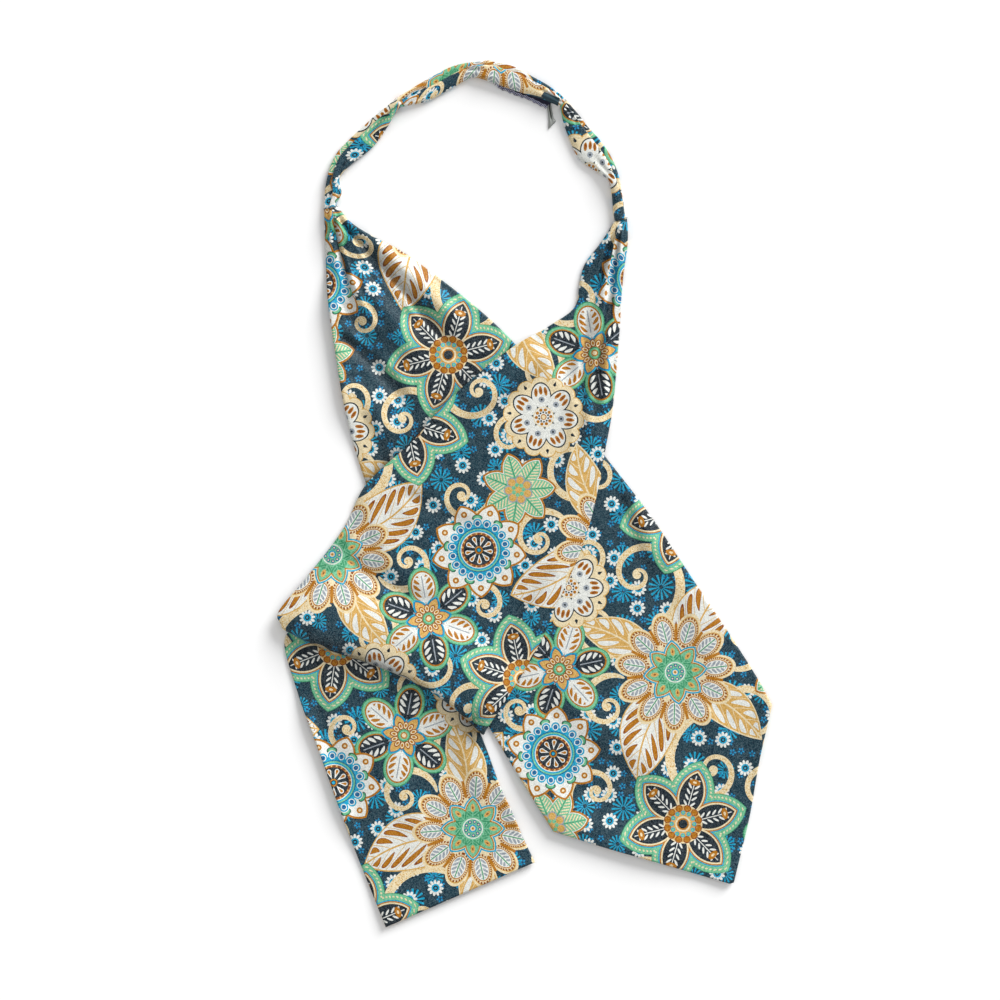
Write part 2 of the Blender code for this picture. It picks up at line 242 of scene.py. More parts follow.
# motifs: each lays its inks over the ones under it
def dahlia(x, y, lay):
    radius, angle = polar(x, y)
    along, aside = petals(radius, angle, 11)
    depth = oval(along - 26.5, aside, 12.6, 7.9)
    lay(larger(depth, 25 - radius), "cream", 1.2, "tan", 1.9, "cream")
    lay(depth, "orange", 3.4, "white", start=2.9)
    bearing = work("ARCTAN2", aside, along - 26.5)
    lay(smaller(0.5 - abs(depth - 2.1), 0.6 - abs(wrapped(bearing, 0.11)) * 9), "rust")
    fern = 1.05 - span(wrapped(along - aside * 0.8, 1.45) * 1.05, (aside - 2.3) * 0.62)
    lay(smaller(depth - 3.9, fern), "grey")
    lay(smaller(0.36 - aside, depth - 3.6), "leafGreen")
    along, aside = petals(radius, angle, 11, pi / 11)
    lay(smaller(0.9 - aside, smaller(along - 20, 31 - along)), "orange")
    along, aside = petals(radius, angle, 8)
    depth = lens(along - 9.6, aside, 11.2, 6.4)
    lay(depth, "blue", 1.0, "cream", 1.4, "orange", 2.1, "mint")
    lay(oval(along - 13.2, aside, 2.6, 1.4), "tan", 0.9, "rust")
    ribs = abs(wrapped(along - aside * 0.8, 1.0)) - 0.3
    lay(smaller(ribs, smaller(11 - along, aside - 0.4)), "leafGreen", mask=along > 7.5)
    lay(6.6 - radius, "white", 0.7, "mint")
    lay(beads(radius, angle, 9, 4.4, 1.15), "deepBlue", 0.6, "cream")
    lay(2.5 - radius, "blue", 0.9, "cream", 1.7, "orange")


def zinnia(x, y, lay):
    radius, angle = polar(x, y)
    along, aside = petals(radius, angle, 9)
    depth = larger(lens(along - 17.5, aside, 13.2, 8.6), 20 - radius)
    lay(depth, "orange", 1.3, "white")
    lay(oval(along - 24.4, aside, 2.0, 2.0), "orange", 1.2, "cream")
    along, aside = petals(radius, angle, 9, pi / 9)
    lay(oval(along - 20.5, aside, 2.2, 3.4), "navy", 0.5, "leafGreen", 1.3, "mint")
    along, aside = petals(radius, angle, 18)
    depth = larger(oval(along - 17.4, aside, 3.2, 3.2), 17.2 - radius)
    lay(depth, "white", 0.5, "blue")
    lay(oval(along - 17.0, aside, 2.1, 1.9), "white", 0.5, "deepBlue")
    rings = ["deepBlue", 0.7, "mint", 1.6, "blue", 2.6, "white", 3.1, "rust", 4.6, "navy"]
    lay(14.3 - radius, *rings)
    lay(beads(radius, angle, 20, 10.6, 0.62), "tan")
    along, aside = petals(radius, angle, 9)
    lay(drop(along - 2.6, aside, 6.4, 1.5), "white", 0.6, "orange")
    lay(2.5 - radius, "orange", 0.9, "navy", 1.5, "blue")


def clematis(x, y, lay):
    radius, angle = polar(x, y)
    along, aside = petals(radius, angle, 6)
    depth = larger(lens(along - 19.5, aside, 22.5, 14.5), 16 - radius)
    edging = ["leafGreen", 0.5, "mint", 4.4, "blue", 5.2, "orange", 6.0, "cream", 7.0, "navy"]
    lay(depth, *edging)
    dots = 0.62 - span(wrapped(along, 1.1), depth - 2.4)
    lay(smaller(dots, radius - 17), "cream")
    leaflet = span(wrapped(along - aside * 0.9, 1.9), (aside - 2.4) * 0.62)
    lay(smaller(0.92 - leaflet, smaller(depth - 7.6, 29.5 - along)), "white")
    lay(smaller(0.3 - aside, 32 - along), "white", mask=depth > 7.2)
    lay(beads(along, aside * 0.02, 6, 27.5, 2.0), "orange", 1.3, "cream")
    lay(12.4 - radius, "cream", 0.9, "tan")
    lay(beads(radius, angle, 12, 10.2, 2.3), "rust", 0.6, "orange")
    lay(beads(radius, angle + 0.26, 12, 7.2, 1.4), "blue", 0.5, "mint")
    lay(5.0 - radius, "cream", 1.2, "orange", 2.1, "navy")


def primrose(x, y, lay):
    radius, angle = polar(x, y)
    along, aside = petals(radius, angle, 14)
    depth = larger(oval(along - 22.0, aside, 4.0, 5.4), 23.4 - radius)
    lay(depth, "tan", 0.7, "cream")
    along, aside = petals(radius, angle, 7)
    depth = oval(along - 13.6, aside, 8.8, 6.5)
    lay(depth, "navy", 0.7, "white")
    fan = span(wrapped(aside, 1.55), (along - 17.2 + aside * 0.35) * 0.42)
    lay(smaller(1.15 - fan, depth - 1.4), "orange", 0.5, "rust")
    lay(oval(along - 11.2, aside, 1.9, 1.9), "grey", 1.2, "navy")
    along, aside = petals(radius, angle, 7, pi / 7)
    lay(drop(24.0 - along, aside, 3.4, 1.0), "navy")
    lay(6.6 - radius, "cream", 0.6, "white")
    lay(beads(radius, angle, 10, 4.6, 1.05), "orange")
    lay(beads(radius, angle + 0.31, 10, 3.0, 0.6), "navy")
    lay(1.9 - radius, "orange", 0.6, "cream")


def mintFlower(x, y, lay):
    radius, angle = polar(x, y)
    along, aside = petals(radius, angle, 7)
    depth = lens(along - 12.5, aside, 12.0, 7.4)
    lay(depth, "orange", 1.2, "white", 1.7, "mint")
    dashes = 0.5 - abs(wrapped(along - aside * 0.7, 1.1))
    lay(smaller(smaller(dashes, depth - 2.3), aside - 0.7), "cream")
    lay(smaller(0.3 - aside, depth - 2.0), "leafGreen")
    along, aside = petals(radius, angle, 7, pi / 7)
    depth = larger(oval(along - 6.2, aside, 3.2, 3.2), 5.4 - radius)
    lay(depth, "grey", 0.8, "tan")
    lay(beads(radius, angle, 7, 3.2, 1.3), "mint")


def anemone(x, y, lay):
    # light and dark petals by turns, each with two rows of leaflets
    radius, angle = polar(x, y)
    dark = work("COSINE", angle * 3) > 0
    along, aside = petals(radius, angle, 6)
    depth = larger(oval(along - 20.5, aside, 12.8, 9.8), 15 - radius)
    lay(depth, "leafGreen", 0.6, "mint", 1.9, "orange", 2.7, "white")
    lay(depth - 2.7, "navy", mask=dark)
    spread = wrapped(along - aside * 0.8, 2.1) / (aside * 0.24 + 0.25)
    leaflets = smaller(1.1 - span(spread, (aside - 4.1) * 0.5), depth - 3.4)
    lay(leaflets, "orange")
    lay(leaflets, "white", mask=dark)
    lay(smaller(0.35 - aside, depth - 4.4), "grey")
    along, aside = petals(radius, angle, 6, pi / 6)
    lay(lens(along - 7.5, aside, 7.5, 4.4), "blue", 0.9, "deepBlue", 1.4, "tan")
    along, aside = petals(radius, angle, 12)
    lay(oval(along - 6.4, aside, 2.8, 1.7), "rust", 0.5, "cream", 1.0, "orange")
    lay(4.0 - radius, "leafGreen", 0.7, "mint", 1.8, "orange", 2.6, "cream")


def foliage(x, y, lay):
    # two white and two tan leaves that point away from a flower, opposite each other
    for turn, length, width, edge, fill, vein, seedEdge, seed in [
        (64, 35, 18.0, "tan", "white", "tan", "rust", "orange"),
        (-32, 32, 13.0, "cream", "tan", "cream", "white", "white"),
    ]:
        along, aside = turnedAbout(x, y, turn)
        along = abs(along)
        bent = abs(aside + (along - 38) * (along - 38) * 0.007)
        depth = lens(along - 38, bent, length, width)
        lay(depth, edge, 0.8, fill)
        lay(smaller(0.55 - bent, depth), vein)
        ribs = wrapped(along - bent * 1.15 - bent * bent * 0.03, 5.4)
        lay(smaller(0.34 - abs(ribs), depth - 0.8), vein)
        outward = bent / larger(depth + bent, 3)
        drops = 1 - span((outward - 0.52) * 3.0, (5.4 - abs(ribs)) * 0.64 / (outward * 3.2 + 0.4))
        lay(smaller(drops * 1.6, depth - 1.6), seedEdge, 0.3, seed)


def tendrils(x, y, lay):
    # curled stems, each drawn again the other way up across the motif's middle
    flip = (y > 0) * 2 - 1
    x, y = x * flip, y * flip
    depth = None
    for centreX, centreY, turn, hand, outer, growth in [
        (-24, 62, 359, -1, 36, 0.26),
        (43, 22, 120, -1, 22, 0.25),
        (-49, 30, 290, 1, 24, 0.24),
        (50, 76, 40, 1, 19, 0.24),
        (-57, 76, 160, -1, 19, 0.24),
    ]:
        stem = curl(x - centreX, y - centreY, turn, hand, 1.8, outer, growth, 1.35)
        depth = stem if depth is None else larger(depth, stem)
    values = {"Scale": 0.95, "Vector": joined(x, y)}
    speckles = addNode(x.tree, "ShaderNodeTexVoronoi", values, "Distance")
    lay(depth, "cream")
    lay(smaller(0.36 - speckles, depth - 0.3), "tan")


def seedBed(x, y, layers):
    # small flowers scattered over the ground, in three sizes, one to a square of a loose grid
    for pitch, count, size, kind, shift in [
        (7.0, 5, 2.3, "tiny", 3.1),
        (23.0, 13, 8.2, "aster", 0.0),
        (17.0, 11, 5.2, "daisy", 8.0),
    ]:
        x = after(layers.ink, x)
        squareX = work("ROUND", (x + shift) / pitch)
        squareY = work("ROUND", (y - shift) / pitch)
        square = joined(squareX, squareY + pitch)
        luck = addNode(x.tree, "ShaderNodeTexWhiteNoise", {"Vector": square}, "Color")
        one = addNode(x.tree, "ShaderNodeSeparateColor", {0: luck})
        two, three = one.output(1), one.output(2)
        slack = pitch - 2 * size
        dx = x + shift - squareX * pitch - (one - 0.5) * slack
        dy = y - shift - squareY * pitch - (two - 0.5) * slack
        radius, angle = polar(dx, dy)
        along, aside = petals(radius, angle + three * 6, count)
        if kind == "tiny":
            depth = oval(along - size * 0.62, aside, size * 0.42, size * 0.30)
            layers.lay(depth, "deepBlue", 0.35, "blue", mask=three < 0.55)
        elif kind == "aster":
            reach = size * (0.62 + 0.38 * one)
            depth = smaller(smaller(0.10 + radius * 0.085 - aside, reach - radius), radius - 1.3)
            layers.lay(depth, "blue", mask=three < 0.8)
        else:
            petal = oval(along - size * 0.70, aside, size * 0.30, size * 0.17)
            heart = size * 0.5 - radius
            layers.lay(larger(petal, smaller(heart, 0.1)), "white", mask=three > 0.42)
            layers.lay(heart, "blue", 1.0, "navy", 1.9, "blue", mask=three > 0.42)


tile = {"width": 150, "height": 200}  # half-drop repeat of the print, in millimetres


def newGroup(name, inputs, outputs, kind="ShaderNodeTree"):
    # a node group, with the kind of each socket by its name
    tree = bpy.data.node_groups.new(name, kind)
    for way, sockets in (("INPUT", inputs), ("OUTPUT", outputs)):
        for label, value in sockets.items():
            tree.interface.new_socket(label, in_out=way, socket_type="NodeSocket" + value)
    start = tree.nodes.new("NodeGroupInput")
    end = tree.nodes.new("NodeGroupOutput")
    return tree, [Wire(socket) for socket in start.outputs if socket.name], end.inputs


def placeGroup(tree, group, **inputs):
    return addNode(tree, "ShaderNodeGroup", inputs, node_tree=group)


def motifGroup(draw):
    sockets = {"X": "Float", "Y": "Float", "Under": "Color"}
    tree, (x, y, under), out = newGroup(draw.__name__, sockets, {"Ink": "Color"})
    layers = Layers(under)
    draw(x, y, layers.lay)
    feed(out[0], layers.ink)
    return tree


def repeatGroup():
    # where a place on the cloth lies round the nearest copy of a motif's centre
    sockets = dict.fromkeys(("X", "Y", "CentreX", "CentreY"), "Float")
    tree, (x, y, centreX, centreY), out = newGroup("halfDrop", sockets, {"X": "Float", "Y": "Float"})
    width, height = tile["width"], tile["height"]
    dx = x - centreX
    nearX = wrapped(dx, width / 2)
    nearY = wrapped(y - centreY - (dx - nearX) * (height / 2 / width), height / 2)
    feed(out[0], nearX)
    feed(out[1], nearY)
    return tree


def printGroup():
    tree, (place,), out = newGroup("floralPrint", {"Cloth": "Vector"}, {"Ink": "Color"})
    x, y = (part * 1000 for part in parted(place))
    halfDrop = repeatGroup()
    layers = Layers(mixed(x * 0, inks["ground"], inks["ground"]))
    seedBed(x, y, layers)
    ink = layers.ink
    for draw, centreX, centreY, turn in [
        (tendrils, 0, 0, 0),
        (foliage, 0, 0, 0),
        (mintFlower, 71, 2, 10),
        (anemone, -74, 2, 12),
        (primrose, 82, -46, 0),
        (clematis, 5, 103, 14),
        (zinnia, 72, 48, 5),
        (dahlia, 0, 0, 7),
    ]:
        spot = placeGroup(tree, halfDrop, X=after(ink, x), Y=y, CentreX=centreX, CentreY=centreY)
        localX, localY = turnedAbout(spot, spot.output(1), turn)
        ink = placeGroup(tree, motifGroup(draw), X=localX, Y=localY, Under=ink)
    feed(out[0], ink)
    return tree


weaveLook = {
    "relief": 1.3,  # of the uneven threads, against the twill's ribs
    "ribShade": 0.03,
    "grainShade": 0.2,
    "base": 0.8,  # lightness of the darkest thread
    "glint": 0.06,
    "glintFrom": 0.055,
}


def weaveGroup():
    # fine twill: a height for the bump, a slight lightness and glint for the colour
    tree, (place, pitch), out = newGroup(
        "twillWeave",
        {"Cloth": "Vector", "Pitch": "Float"},
        {"Height": "Float", "Lightness": "Float", "Glint": "Vector"},
    )
    across, down = parted(place)
    x, y = across / pitch, down / pitch
    rib = work("SINE", (x + y) * (2 * pi))
    grain = None
    for square in (
        joined(work("FLOOR", x * 1.7), work("FLOOR", y * 1.0)),
        joined(work("FLOOR", x * 0.95 + 71), work("FLOOR", y * 1.8)),
    ):
        slub = addNode(tree, "ShaderNodeTexWhiteNoise", {"Vector": square}, "Value", noise_dimensions="2D")
        grain = slub if grain is None else grain + slub
    feed(out["Height"], rib + grain * weaveLook["relief"])
    light = rib * weaveLook["ribShade"] + grain * weaveLook["grainShade"] + weaveLook["base"]
    feed(out["Lightness"], light)
    glint = grain * weaveLook["glint"] - weaveLook["glintFrom"]
    feed(out["Glint"], joined(glint, glint, glint))
    return tree


def newFinish(name, inputs):
    finish = bpy.data.materials.new(name)
    finish.use_nodes = True
    shader = finish.node_tree.nodes["Principled BSDF"]
    for label, value in inputs.items():
        feed(shader.inputs[label], value)
    return finish, finish.node_tree, shader.inputs


def uvPlace(tree, name):
    return addNode(tree, "ShaderNodeUVMap", uv_map=name)


# the amount of painted shade stored at each point of a piece
def paintedShadeNode(tree):
    return addNode(tree, "ShaderNodeAttribute", output="Fac", attribute_name="paintedShade")


def scaled(tree, colour, light):
    return addNode(tree, "ShaderNodeVectorMath", {0: colour, "Scale": light}, operation="SCALE")


def addBump(shader, height, strength, distance=0.0001):
    values = {"Strength": strength, "Distance": distance, "Height": height}
    feed(shader["Normal"], addNode(height.tree, "ShaderNodeBump", values))


silk = {
    "weavePitch": 0.0006,
    "roughness": 0.4,
    "specular": 0.16,
    "sheen": 0.03,
    "sheenRoughness": 0.35,
    "bump": 0.25,
    # foldShade: how far the painted shade darkens the print at most
    "foldShade": 0.46,
}


def silkFinish():
    finish, tree, shader = newFinish(
        "printedSilk",
        {
            "Roughness": silk["roughness"],
            "Sheen Weight": silk["sheen"],
            "Sheen Roughness": silk["sheenRoughness"],
            "Specular IOR Level": silk["specular"],
        },
    )
    where = uvPlace(tree, "cloth")
    side, width = parted(uvPlace(tree, "layer"))
    hidden = (side > 0) * width
    jump = joined(hidden, hidden * 0.4)
    cloth = addNode(tree, "ShaderNodeVectorMath", {0: where, 1: jump})
    design = placeGroup(tree, printGroup(), Cloth=cloth)
    weave = placeGroup(tree, twill, Cloth=cloth, Pitch=silk["weavePitch"])
    # painted shade in creases, along edges and beside overlaps darkens the print
    shadeAmount = paintedShadeNode(tree)
    light = weave.output("Lightness") * (1 - shadeAmount * silk["foldShade"])
    lit = scaled(tree, design, light)
    glinting = addNode(tree, "ShaderNodeVectorMath", {0: lit, 1: weave.output("Glint")})
    feed(shader["Base Color"], glinting)
    addBump(shader, weave.output("Height"), silk["bump"])
    return finish


dyedCloth = {"roughness": 0.62, "sheen": 0.15, "specular": 0.25, "bump": 0.4, "ribShade": 0.22}


def plainFinish(name, ink, ribs=0.0):
    # woven cloth or thread of one dye; ribs are counted along the cloth, one to each of that many metres
    finish, tree, shader = newFinish(
        name,
        {
            "Roughness": dyedCloth["roughness"],
            "Sheen Weight": dyedCloth["sheen"],
            "Specular IOR Level": dyedCloth["specular"],
        },
    )
    place = uvPlace(tree, "cloth") if ribs else addNode(tree, "ShaderNodeTexCoord", output="Object")
    weave = placeGroup(tree, twill, Cloth=place, Pitch=silk["weavePitch"])
    height, light = weave.output("Height"), weave.output("Lightness")
    if ribs:
        wave = work("SINE", parted(place)[0] * (2 * pi / ribs))
        light = light * (wave * dyedCloth["ribShade"] + 0.9)
        height = height + wave * 2
    feed(shader["Base Color"], scaled(tree, inks[ink][:3], light))
    addBump(shader, height, dyedCloth["bump"])
    return finish


def steelFinish():
    # dull plated steel, brushed along the hook, with painted shade in its channel and along its sides
    finish, tree, shader = newFinish("dullSteel", {"Metallic": 1})
    where = uvPlace(tree, "cloth")
    stretched = addNode(tree, "ShaderNodeVectorMath", {0: where, 1: hook["brushing"]}, operation="MULTIPLY")
    streak = addNode(tree, "ShaderNodeTexNoise", {"Scale": 1, "Detail": 3, "Vector": stretched}, "Fac")
    feed(shader["Roughness"], streak * hook["streaks"] + hook["roughness"])
    light = (1 - paintedShadeNode(tree) * hook["channelShade"]) * (streak * 0.5 + 0.75)
    feed(shader["Base Color"], scaled(tree, hook["metal"], light))
    addBump(shader, streak, hook["bump"], 0.00005)
    return finish


print("frame")
for thing in list(bpy.data.objects):
    bpy.data.objects.remove(thing)
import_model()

mm = 0.001
Section = namedtuple("Section", "leftX leftY rightX rightY")
Fold = namedtuple("Fold", "x0 y0 x1 y1 x2 y2 halfWidth height")
Pleat = namedtuple("Pleat", "x y halfWidth height")
Band = namedtuple("Band", "outerX outerY innerX innerY height lift lip")


def rowsOf(kind):
    # a function that parts a run of numbers into rows of one kind
    size = len(kind._fields)
    return lambda *values: [kind(*values[i : i + size]) for i in range(0, len(values), size)]


sections, folds, pleats, bands = map(rowsOf, (Section, Fold, Pleat, Band))

# cloth, laid out in millimetres as lines across it from edge to edge, from the neck down
cloth = {
    "wall": 1.8,  # two plies of silk with their interlining
    "thinnest": 0.55,
    "gap": 0.3,
    "edge": 1.7,  # how far a pressed edge takes to round over
    "edgeHeight": 0.42,
    "pitch": 1.9,
    "bandPitch": 1.1,
    "columns": {"left": 76, "panel": 84, "end": 66, "tape": 9},
    "slack": 0.17,
    "slackReach": 12,  # how far in from an edge it comes to its full height
    "creaseReach": 6,
    "hemLift": 1.5,
    "hemReach": 26,
    "seamPinch": 0.3,  # how much thinner a blade is where it goes in under the neckband
    # painted shadow of the right blade's edge on the left blade
    "lapShade": 1.6,  # where the left blade goes in under the right one
    "lapReach": 4.5,
    "lapRows": (6, 13),
    # the most painted shade any place takes
    "darkest": 1.8,
    "undersideShift": (0.061, 0.043),  # of the print on the back ply, in metres
    "plyShift": 0.037,  # of the print beyond the lip of the neckband, in metres
    "weld": 0.0000005,
}
rimSteps = np.array([0, 0.25, 0.7, 1.3, 2.0])

leftBladeCut = {
    "flat": (0.168, 0.455),
    "turn": 0,
    "offset": (54, 14),
    "rows": sections(
        -128.6, 183, -120.4, 184.6,  -128.2, 171, -111.5, 174,  -128, 161, -98.5, 165.5,
        -127.4, 147, -81, 156.5,  -126.1, 124, -55, 138.2,  -121.6, 92, -26.2, 115.2,
        -115.2, 54, -5.8, 95.4,  -101.1, 5.1, 22.4, 61.5,  -83.2, -33, 50.6, 25,
        -61.5, -75, 80, -13.4,  -42.5, -110, 105.6, -51.8,  -27.5, -141, 131.2, -90.2,
        -9.6, -171.5, 147, -115,  17.9, -215.7, 158.1, -135,
    ),
    "point": sections(
        17.9, -215.7, 158.1, -135,  49, -225.5, 150.5, -168,  89, -237, 144, -205,
        131, -249.3, 133.6, -248.4,
    ),
    "folds": folds(
        -106, 166, -70, 138, -28, 92, 10, 2.8,  -118, 150, -92, 118, -56, 74, 13, 3,
        -127, 150, -124, 100, -107, 24, 17, 4.2,  -110, 76, -94, 50, -80, 30, 10, 1.8,
        60, 10, 74, -18, 84, -52, 9, 1.6,  20, -136, 66, -166, 118, -200, 22, 1.4,
        -22, -150, 24, -210, 138, -248, 26, 3.4,  150, -112, 156, -140, 146, -196, 12, 1.6,
    ),
    "pleats": pleats(
        -124.5, 128, 4.2, 1.6,  -116, 134, 4.4, 2,  -104, 140, 4.8, 1.8,
    ),
    "creases": folds(
        -117, 174, -74, 126, -33, 75, 4.2, -2.5,  -124, 105, -90, 78, -64, 40, 5, -2.2,
        -126.5, 182, -126.5, 154, -124, 118, 2.6, -2.3,  -122.5, 182, -117, 150, -104, 112, 2.5, -2.4,
        -120.8, 180, -103, 154, -76, 120, 2.3, -1.8,  -112, 142, -103, 120, -88, 96, 3.8, 1.5,
        -118, 126, -106, 104, -92, 82, 4.4, -1.2,  -104, 54, -92, 30, -76, 8, 7, -0.8,
        56, 8, 70, -24, 78, -62, 6.5, -1,  68, 0, 88, -36, 104, -84, 8.5, 0.8,
        -4, -122, 40, -158, 96, -202, 10.5, -0.75,  78, -40, 104, -88, 116, -142, 11, -0.6,
        -20, -160, 0, -188, 34, -212, 7.5, -0.8,  112, -136, 132, -168, 136, -216, 9, 0.6,
    ),
    "seamLine": Fold(-123.5, 184, -117.5, 152, -106, 116, 4, 13),
}
rightPanelCut = {
    "flat": (0.172, 0.325),
    "turn": 148,
    "offset": (66, 2),
    "rows": sections(
        57.2, 175, 65.2, 177,  52.5, 167, 65.9, 166,  47.4, 159.4, 65.3, 156.2,
        39, 148.5, 63.4, 143.4,  35, 136, 61.6, 124.2,  32, 120, 60.8, 108.2,
        17, 108.5, 59.5, 92.2,  -5.8, 95.4, 57.6, 68.6,  -30, 77, 55.2, 48.6,
        -52.5, 56.3, 51.5, 29,  -73.6, 32, 47.6, 8,  -87, 20.5, 44.5, -7,
        -102.4, 5.1, 40, -24,  -115.5, -21, 33, -43,  -139.5, -53, 21.5, -68,
        -157.4, -75, 5, -104,  -155.7, -84, -25, -151,
    ),
    "folds": folds(
        48, 146, 50, 92, 40, 22, 9, 2.6,  36, 108, 32, 72, 22, 34, 9, 1.6,
        26, 98, 2, 78, -44, 44, 10, 1.8,  -6, 60, -46, 22, -84, -22, 15, 1.8,
        -104, -14, -128, -46, -146, -68, 12, 2.2,  -96, -36, -74, -60, -30, -78, 15, 1.6,
        28, -10, 12, -48, -6, -86, 13, 1.5,
    ),
    "pleats": pleats(
        42.5, 144, 4.2, 1.5,  51.5, 134, 4.4, 1.8,  60.5, 132, 4, 1.4,
    ),
    "creases": folds(
        59.5, 176, 50, 146, 42, 112, 2.5, -2.3,  62.5, 176, 57.5, 146, 54, 104, 2.5, -2.1,
        57, 132, 48, 88, 44, 30, 3.6, -2,  53, 108, 52, 76, 48, 36, 2.8, 1.4,
        41, 122, 37, 76, 32, 6, 3.8, -1.5,  31, 92, 28, 42, 14, -22, 6.5, -0.8,
        16, 92, -14, 62, -56, 34, 7.5, -0.8,  -80, 6, -56, -10, -14, -28, 7, -1,
        -118, -38, -84, -59, -40, -72, 7, -1.25,  -106, -14, -126, -44, -146, -64, 6.5, -1.2,
        20, -44, -4, -80, -20, -118, 8, -0.9,
    ),
    "seamLine": Fold(61, 177, 55, 150, 49, 112, 4, -12),
}
tuck = {
    "radius": 2,
    "leftRadius": 0.3,
    # painted shade along the tuck's roll, and how far it reaches
    "shade": 1.3,
    "shadeReach": 12,
    "steps": 18,
    "backRows": 8,
    "bow": 10.2,
    "bowReach": 34,
    "leftDepth": 3.5,
    "rightDepth": 19,
    "flat": 16,
    "slope": 42,
    "leftLean": (0.55, -0.05, 0),
    "panelCorner": 9,
    "endCorner": 12,
    "corner": (-31, -143),  # where it runs in beside the left blade
    "stepMargin": 3.5,
    "stepSlope": 13,
}
tuckInward = np.array([0.40, 0.917])
rightEndCut = {
    "flat": (0.142, 0.182),
    "turn": -52,
    "offset": (2, 58),
    "rows": sections(
        -147, -83, -45, -117,  -154, -95, -27.8, -155,  -146, -125.4, -17, -184,
        -129.5, -171, -7.6, -204.5,  -112, -219.5, -0.6, -221.4,  -89, -277.1, 6.4, -235.5,
    ),
    "folds": folds(
        -92, -130, -78, -178, -60, -236, 18, 1.5,  -148, -120, -134, -166, -106, -236, 12, 3.2,
        -20, -176, -8, -202, 2, -222, 10, 1.8,
    ),
    "creases": folds(
        -138, -116, -122, -162, -96, -220, 9, -0.9,  -56, -146, -38, -184, -22, -216, 8.5, -0.9,
        -104, -138, -92, -176, -70, -226, 10, 0.5,
    ),
}
neckbandCuts = {
    "left": {
        "flat": (0.016, 0.087),
        "turn": 40,
        "offset": (34, 8),
        "rows": bands(
            -128.6, 181.9, -120.4, 183.5, 6.2, 0, 0.42,  -128.6, 183.4, -120.4, 185, 6, 0, 0.44,
            -128.2, 191.4, -117.1, 192, 5.4, 0, 0.46,  -127.4, 198.5, -118.6, 201, 6.4, 0, 0.48,
            -125.4, 207, -116.2, 205.5, 5.6, 0, 0.34,  -121, 217.2, -109.4, 211.8, 4.4, 0, 0.24,
            -113.9, 225.3, -99.6, 219.5, 3.8, 0, 0.22,  -101.1, 237.4, -92.2, 227.9, 4, 0, 0.26,
            -94.1, 243.8, -87, 236, 5, 0, 0.32,  -87.6, 248.6, -83.4, 242.4, 6.6, 0, 0.45,
            -82.8, 252.9, -79.6, 247.5, 7, 0, 0.5,
        ),
        "creases": folds(
            -80, 249, -92, 238, -104, 224, 1.3, -1.1,  -81, 251, -95, 239, -110, 228, 1.1, 0.7,
            -118, 202, -116, 210, -106, 219, 1.4, -1,  -121, 184, -119.5, 192, -120.5, 200, 1.2, -0.9,
        ),
    },
    "top": {
        "flat": (0.018, 0.121),
        "turn": 118,
        "offset": (4, 40),
        "rows": bands(
            -83.3, 252.6, -80.1, 247.2, 6.9, 0, 0.5,  -71.4, 260.1, -74.6, 248.3, 4.6, 0, 0.34,
            -58.2, 267.9, -62.6, 251, 3.8, 0, 0.42,  -44.2, 274.4, -46.9, 259.2, 3.8, 0, 0.36,
            -32, 276.4, -33, 265.9, 4.6, 0.4, 0.22,  -22.4, 277.1, -22.2, 263.2, 4.2, 1.5, 0.24,
            -7, 273.3, -11.2, 259.2, 3.8, 1.5, 0.26,  5, 266.8, 0.6, 255.4, 3.8, 1.5, 0.22,
            14.6, 261.4, 10.6, 252.4, 3.8, 1.5, 0.2,  22.6, 255.4, 19, 249.8, 4, 1.5, 0.24,
            26.6, 251.6, 22.6, 248.2, 4, 1.5, 0.3,
        ),
        "creases": folds(
            -82, 249, -72, 255, -58, 262, 1.3, -1,  -78, 248, -68, 251, -56, 256, 1.3, 0.7,
            -40, 272, -33, 271, -24, 271, 1.5, -0.9,  -36, 264, -28, 267, -16, 266, 1.3, 0.6,
            24, 250, 16, 255, 6, 261, 1.3, -0.8,
        ),
    },
    "right": {
        "flat": (0.018, 0.088),
        "turn": -35,
        "offset": (20, 96),
        "rows": bands(
            26.5, 251.7, 22.3, 248.3, 5.2, 0, 0.3,  33.9, 243.2, 23.8, 239.6, 4.4, 0, 0.24,
            40.3, 234.9, 27.6, 227.9, 3.8, 0, 0.2,  48, 226.4, 34.6, 213.6, 3.8, 0, 0.2,
            55.7, 214.6, 45.4, 205.9, 4.4, 0, 0.24,  60.2, 202.6, 53.3, 200, 6.2, 0, 0.34,
            61.6, 194.6, 55, 192.6, 5.6, 0, 0.12,  65, 177.4, 57.1, 175.4, 5, 0, 0.12,
            65.3, 176, 57.5, 174, 5.2, 0, 0.12,
        ),
        "creases": folds(
            58, 200, 50, 209, 42, 220, 1.8, -0.6,  55, 201, 47, 208, 40, 216, 1.5, 0.3,
            25, 248, 30, 241, 36, 232, 1.3, -0.8,
        ),
    },
}
bandProfile = [
    (0.10, 0.0), (0.0, 0.30), (0.05, 0.56), (0.5, 0.66),
    (1.0, 0.64), (1.0, 0.92),  # the lip, where the upper ply is folded back
    (1.25, 1.0), (1.6, 1.02), (1.86, 0.86), (2.0, 0.42), (1.92, 0.0),
]


def paired(x, y):
    return np.stack(np.broadcast_arrays(x, y), -1)


def ease(value):
    value = np.clip(value, 0, 1)
    return value * value * (3 - 2 * value)


def hump(share):
    # 1 in the middle of a ridge, 0 from its half width on
    return np.cos(np.clip(share, 0, 1) * pi / 2) ** 2


def distances(points):
    # how far along a line of points each of them lies
    return np.concatenate([[0], np.cumsum(np.linalg.norm(np.diff(points, axis=0), axis=1))])


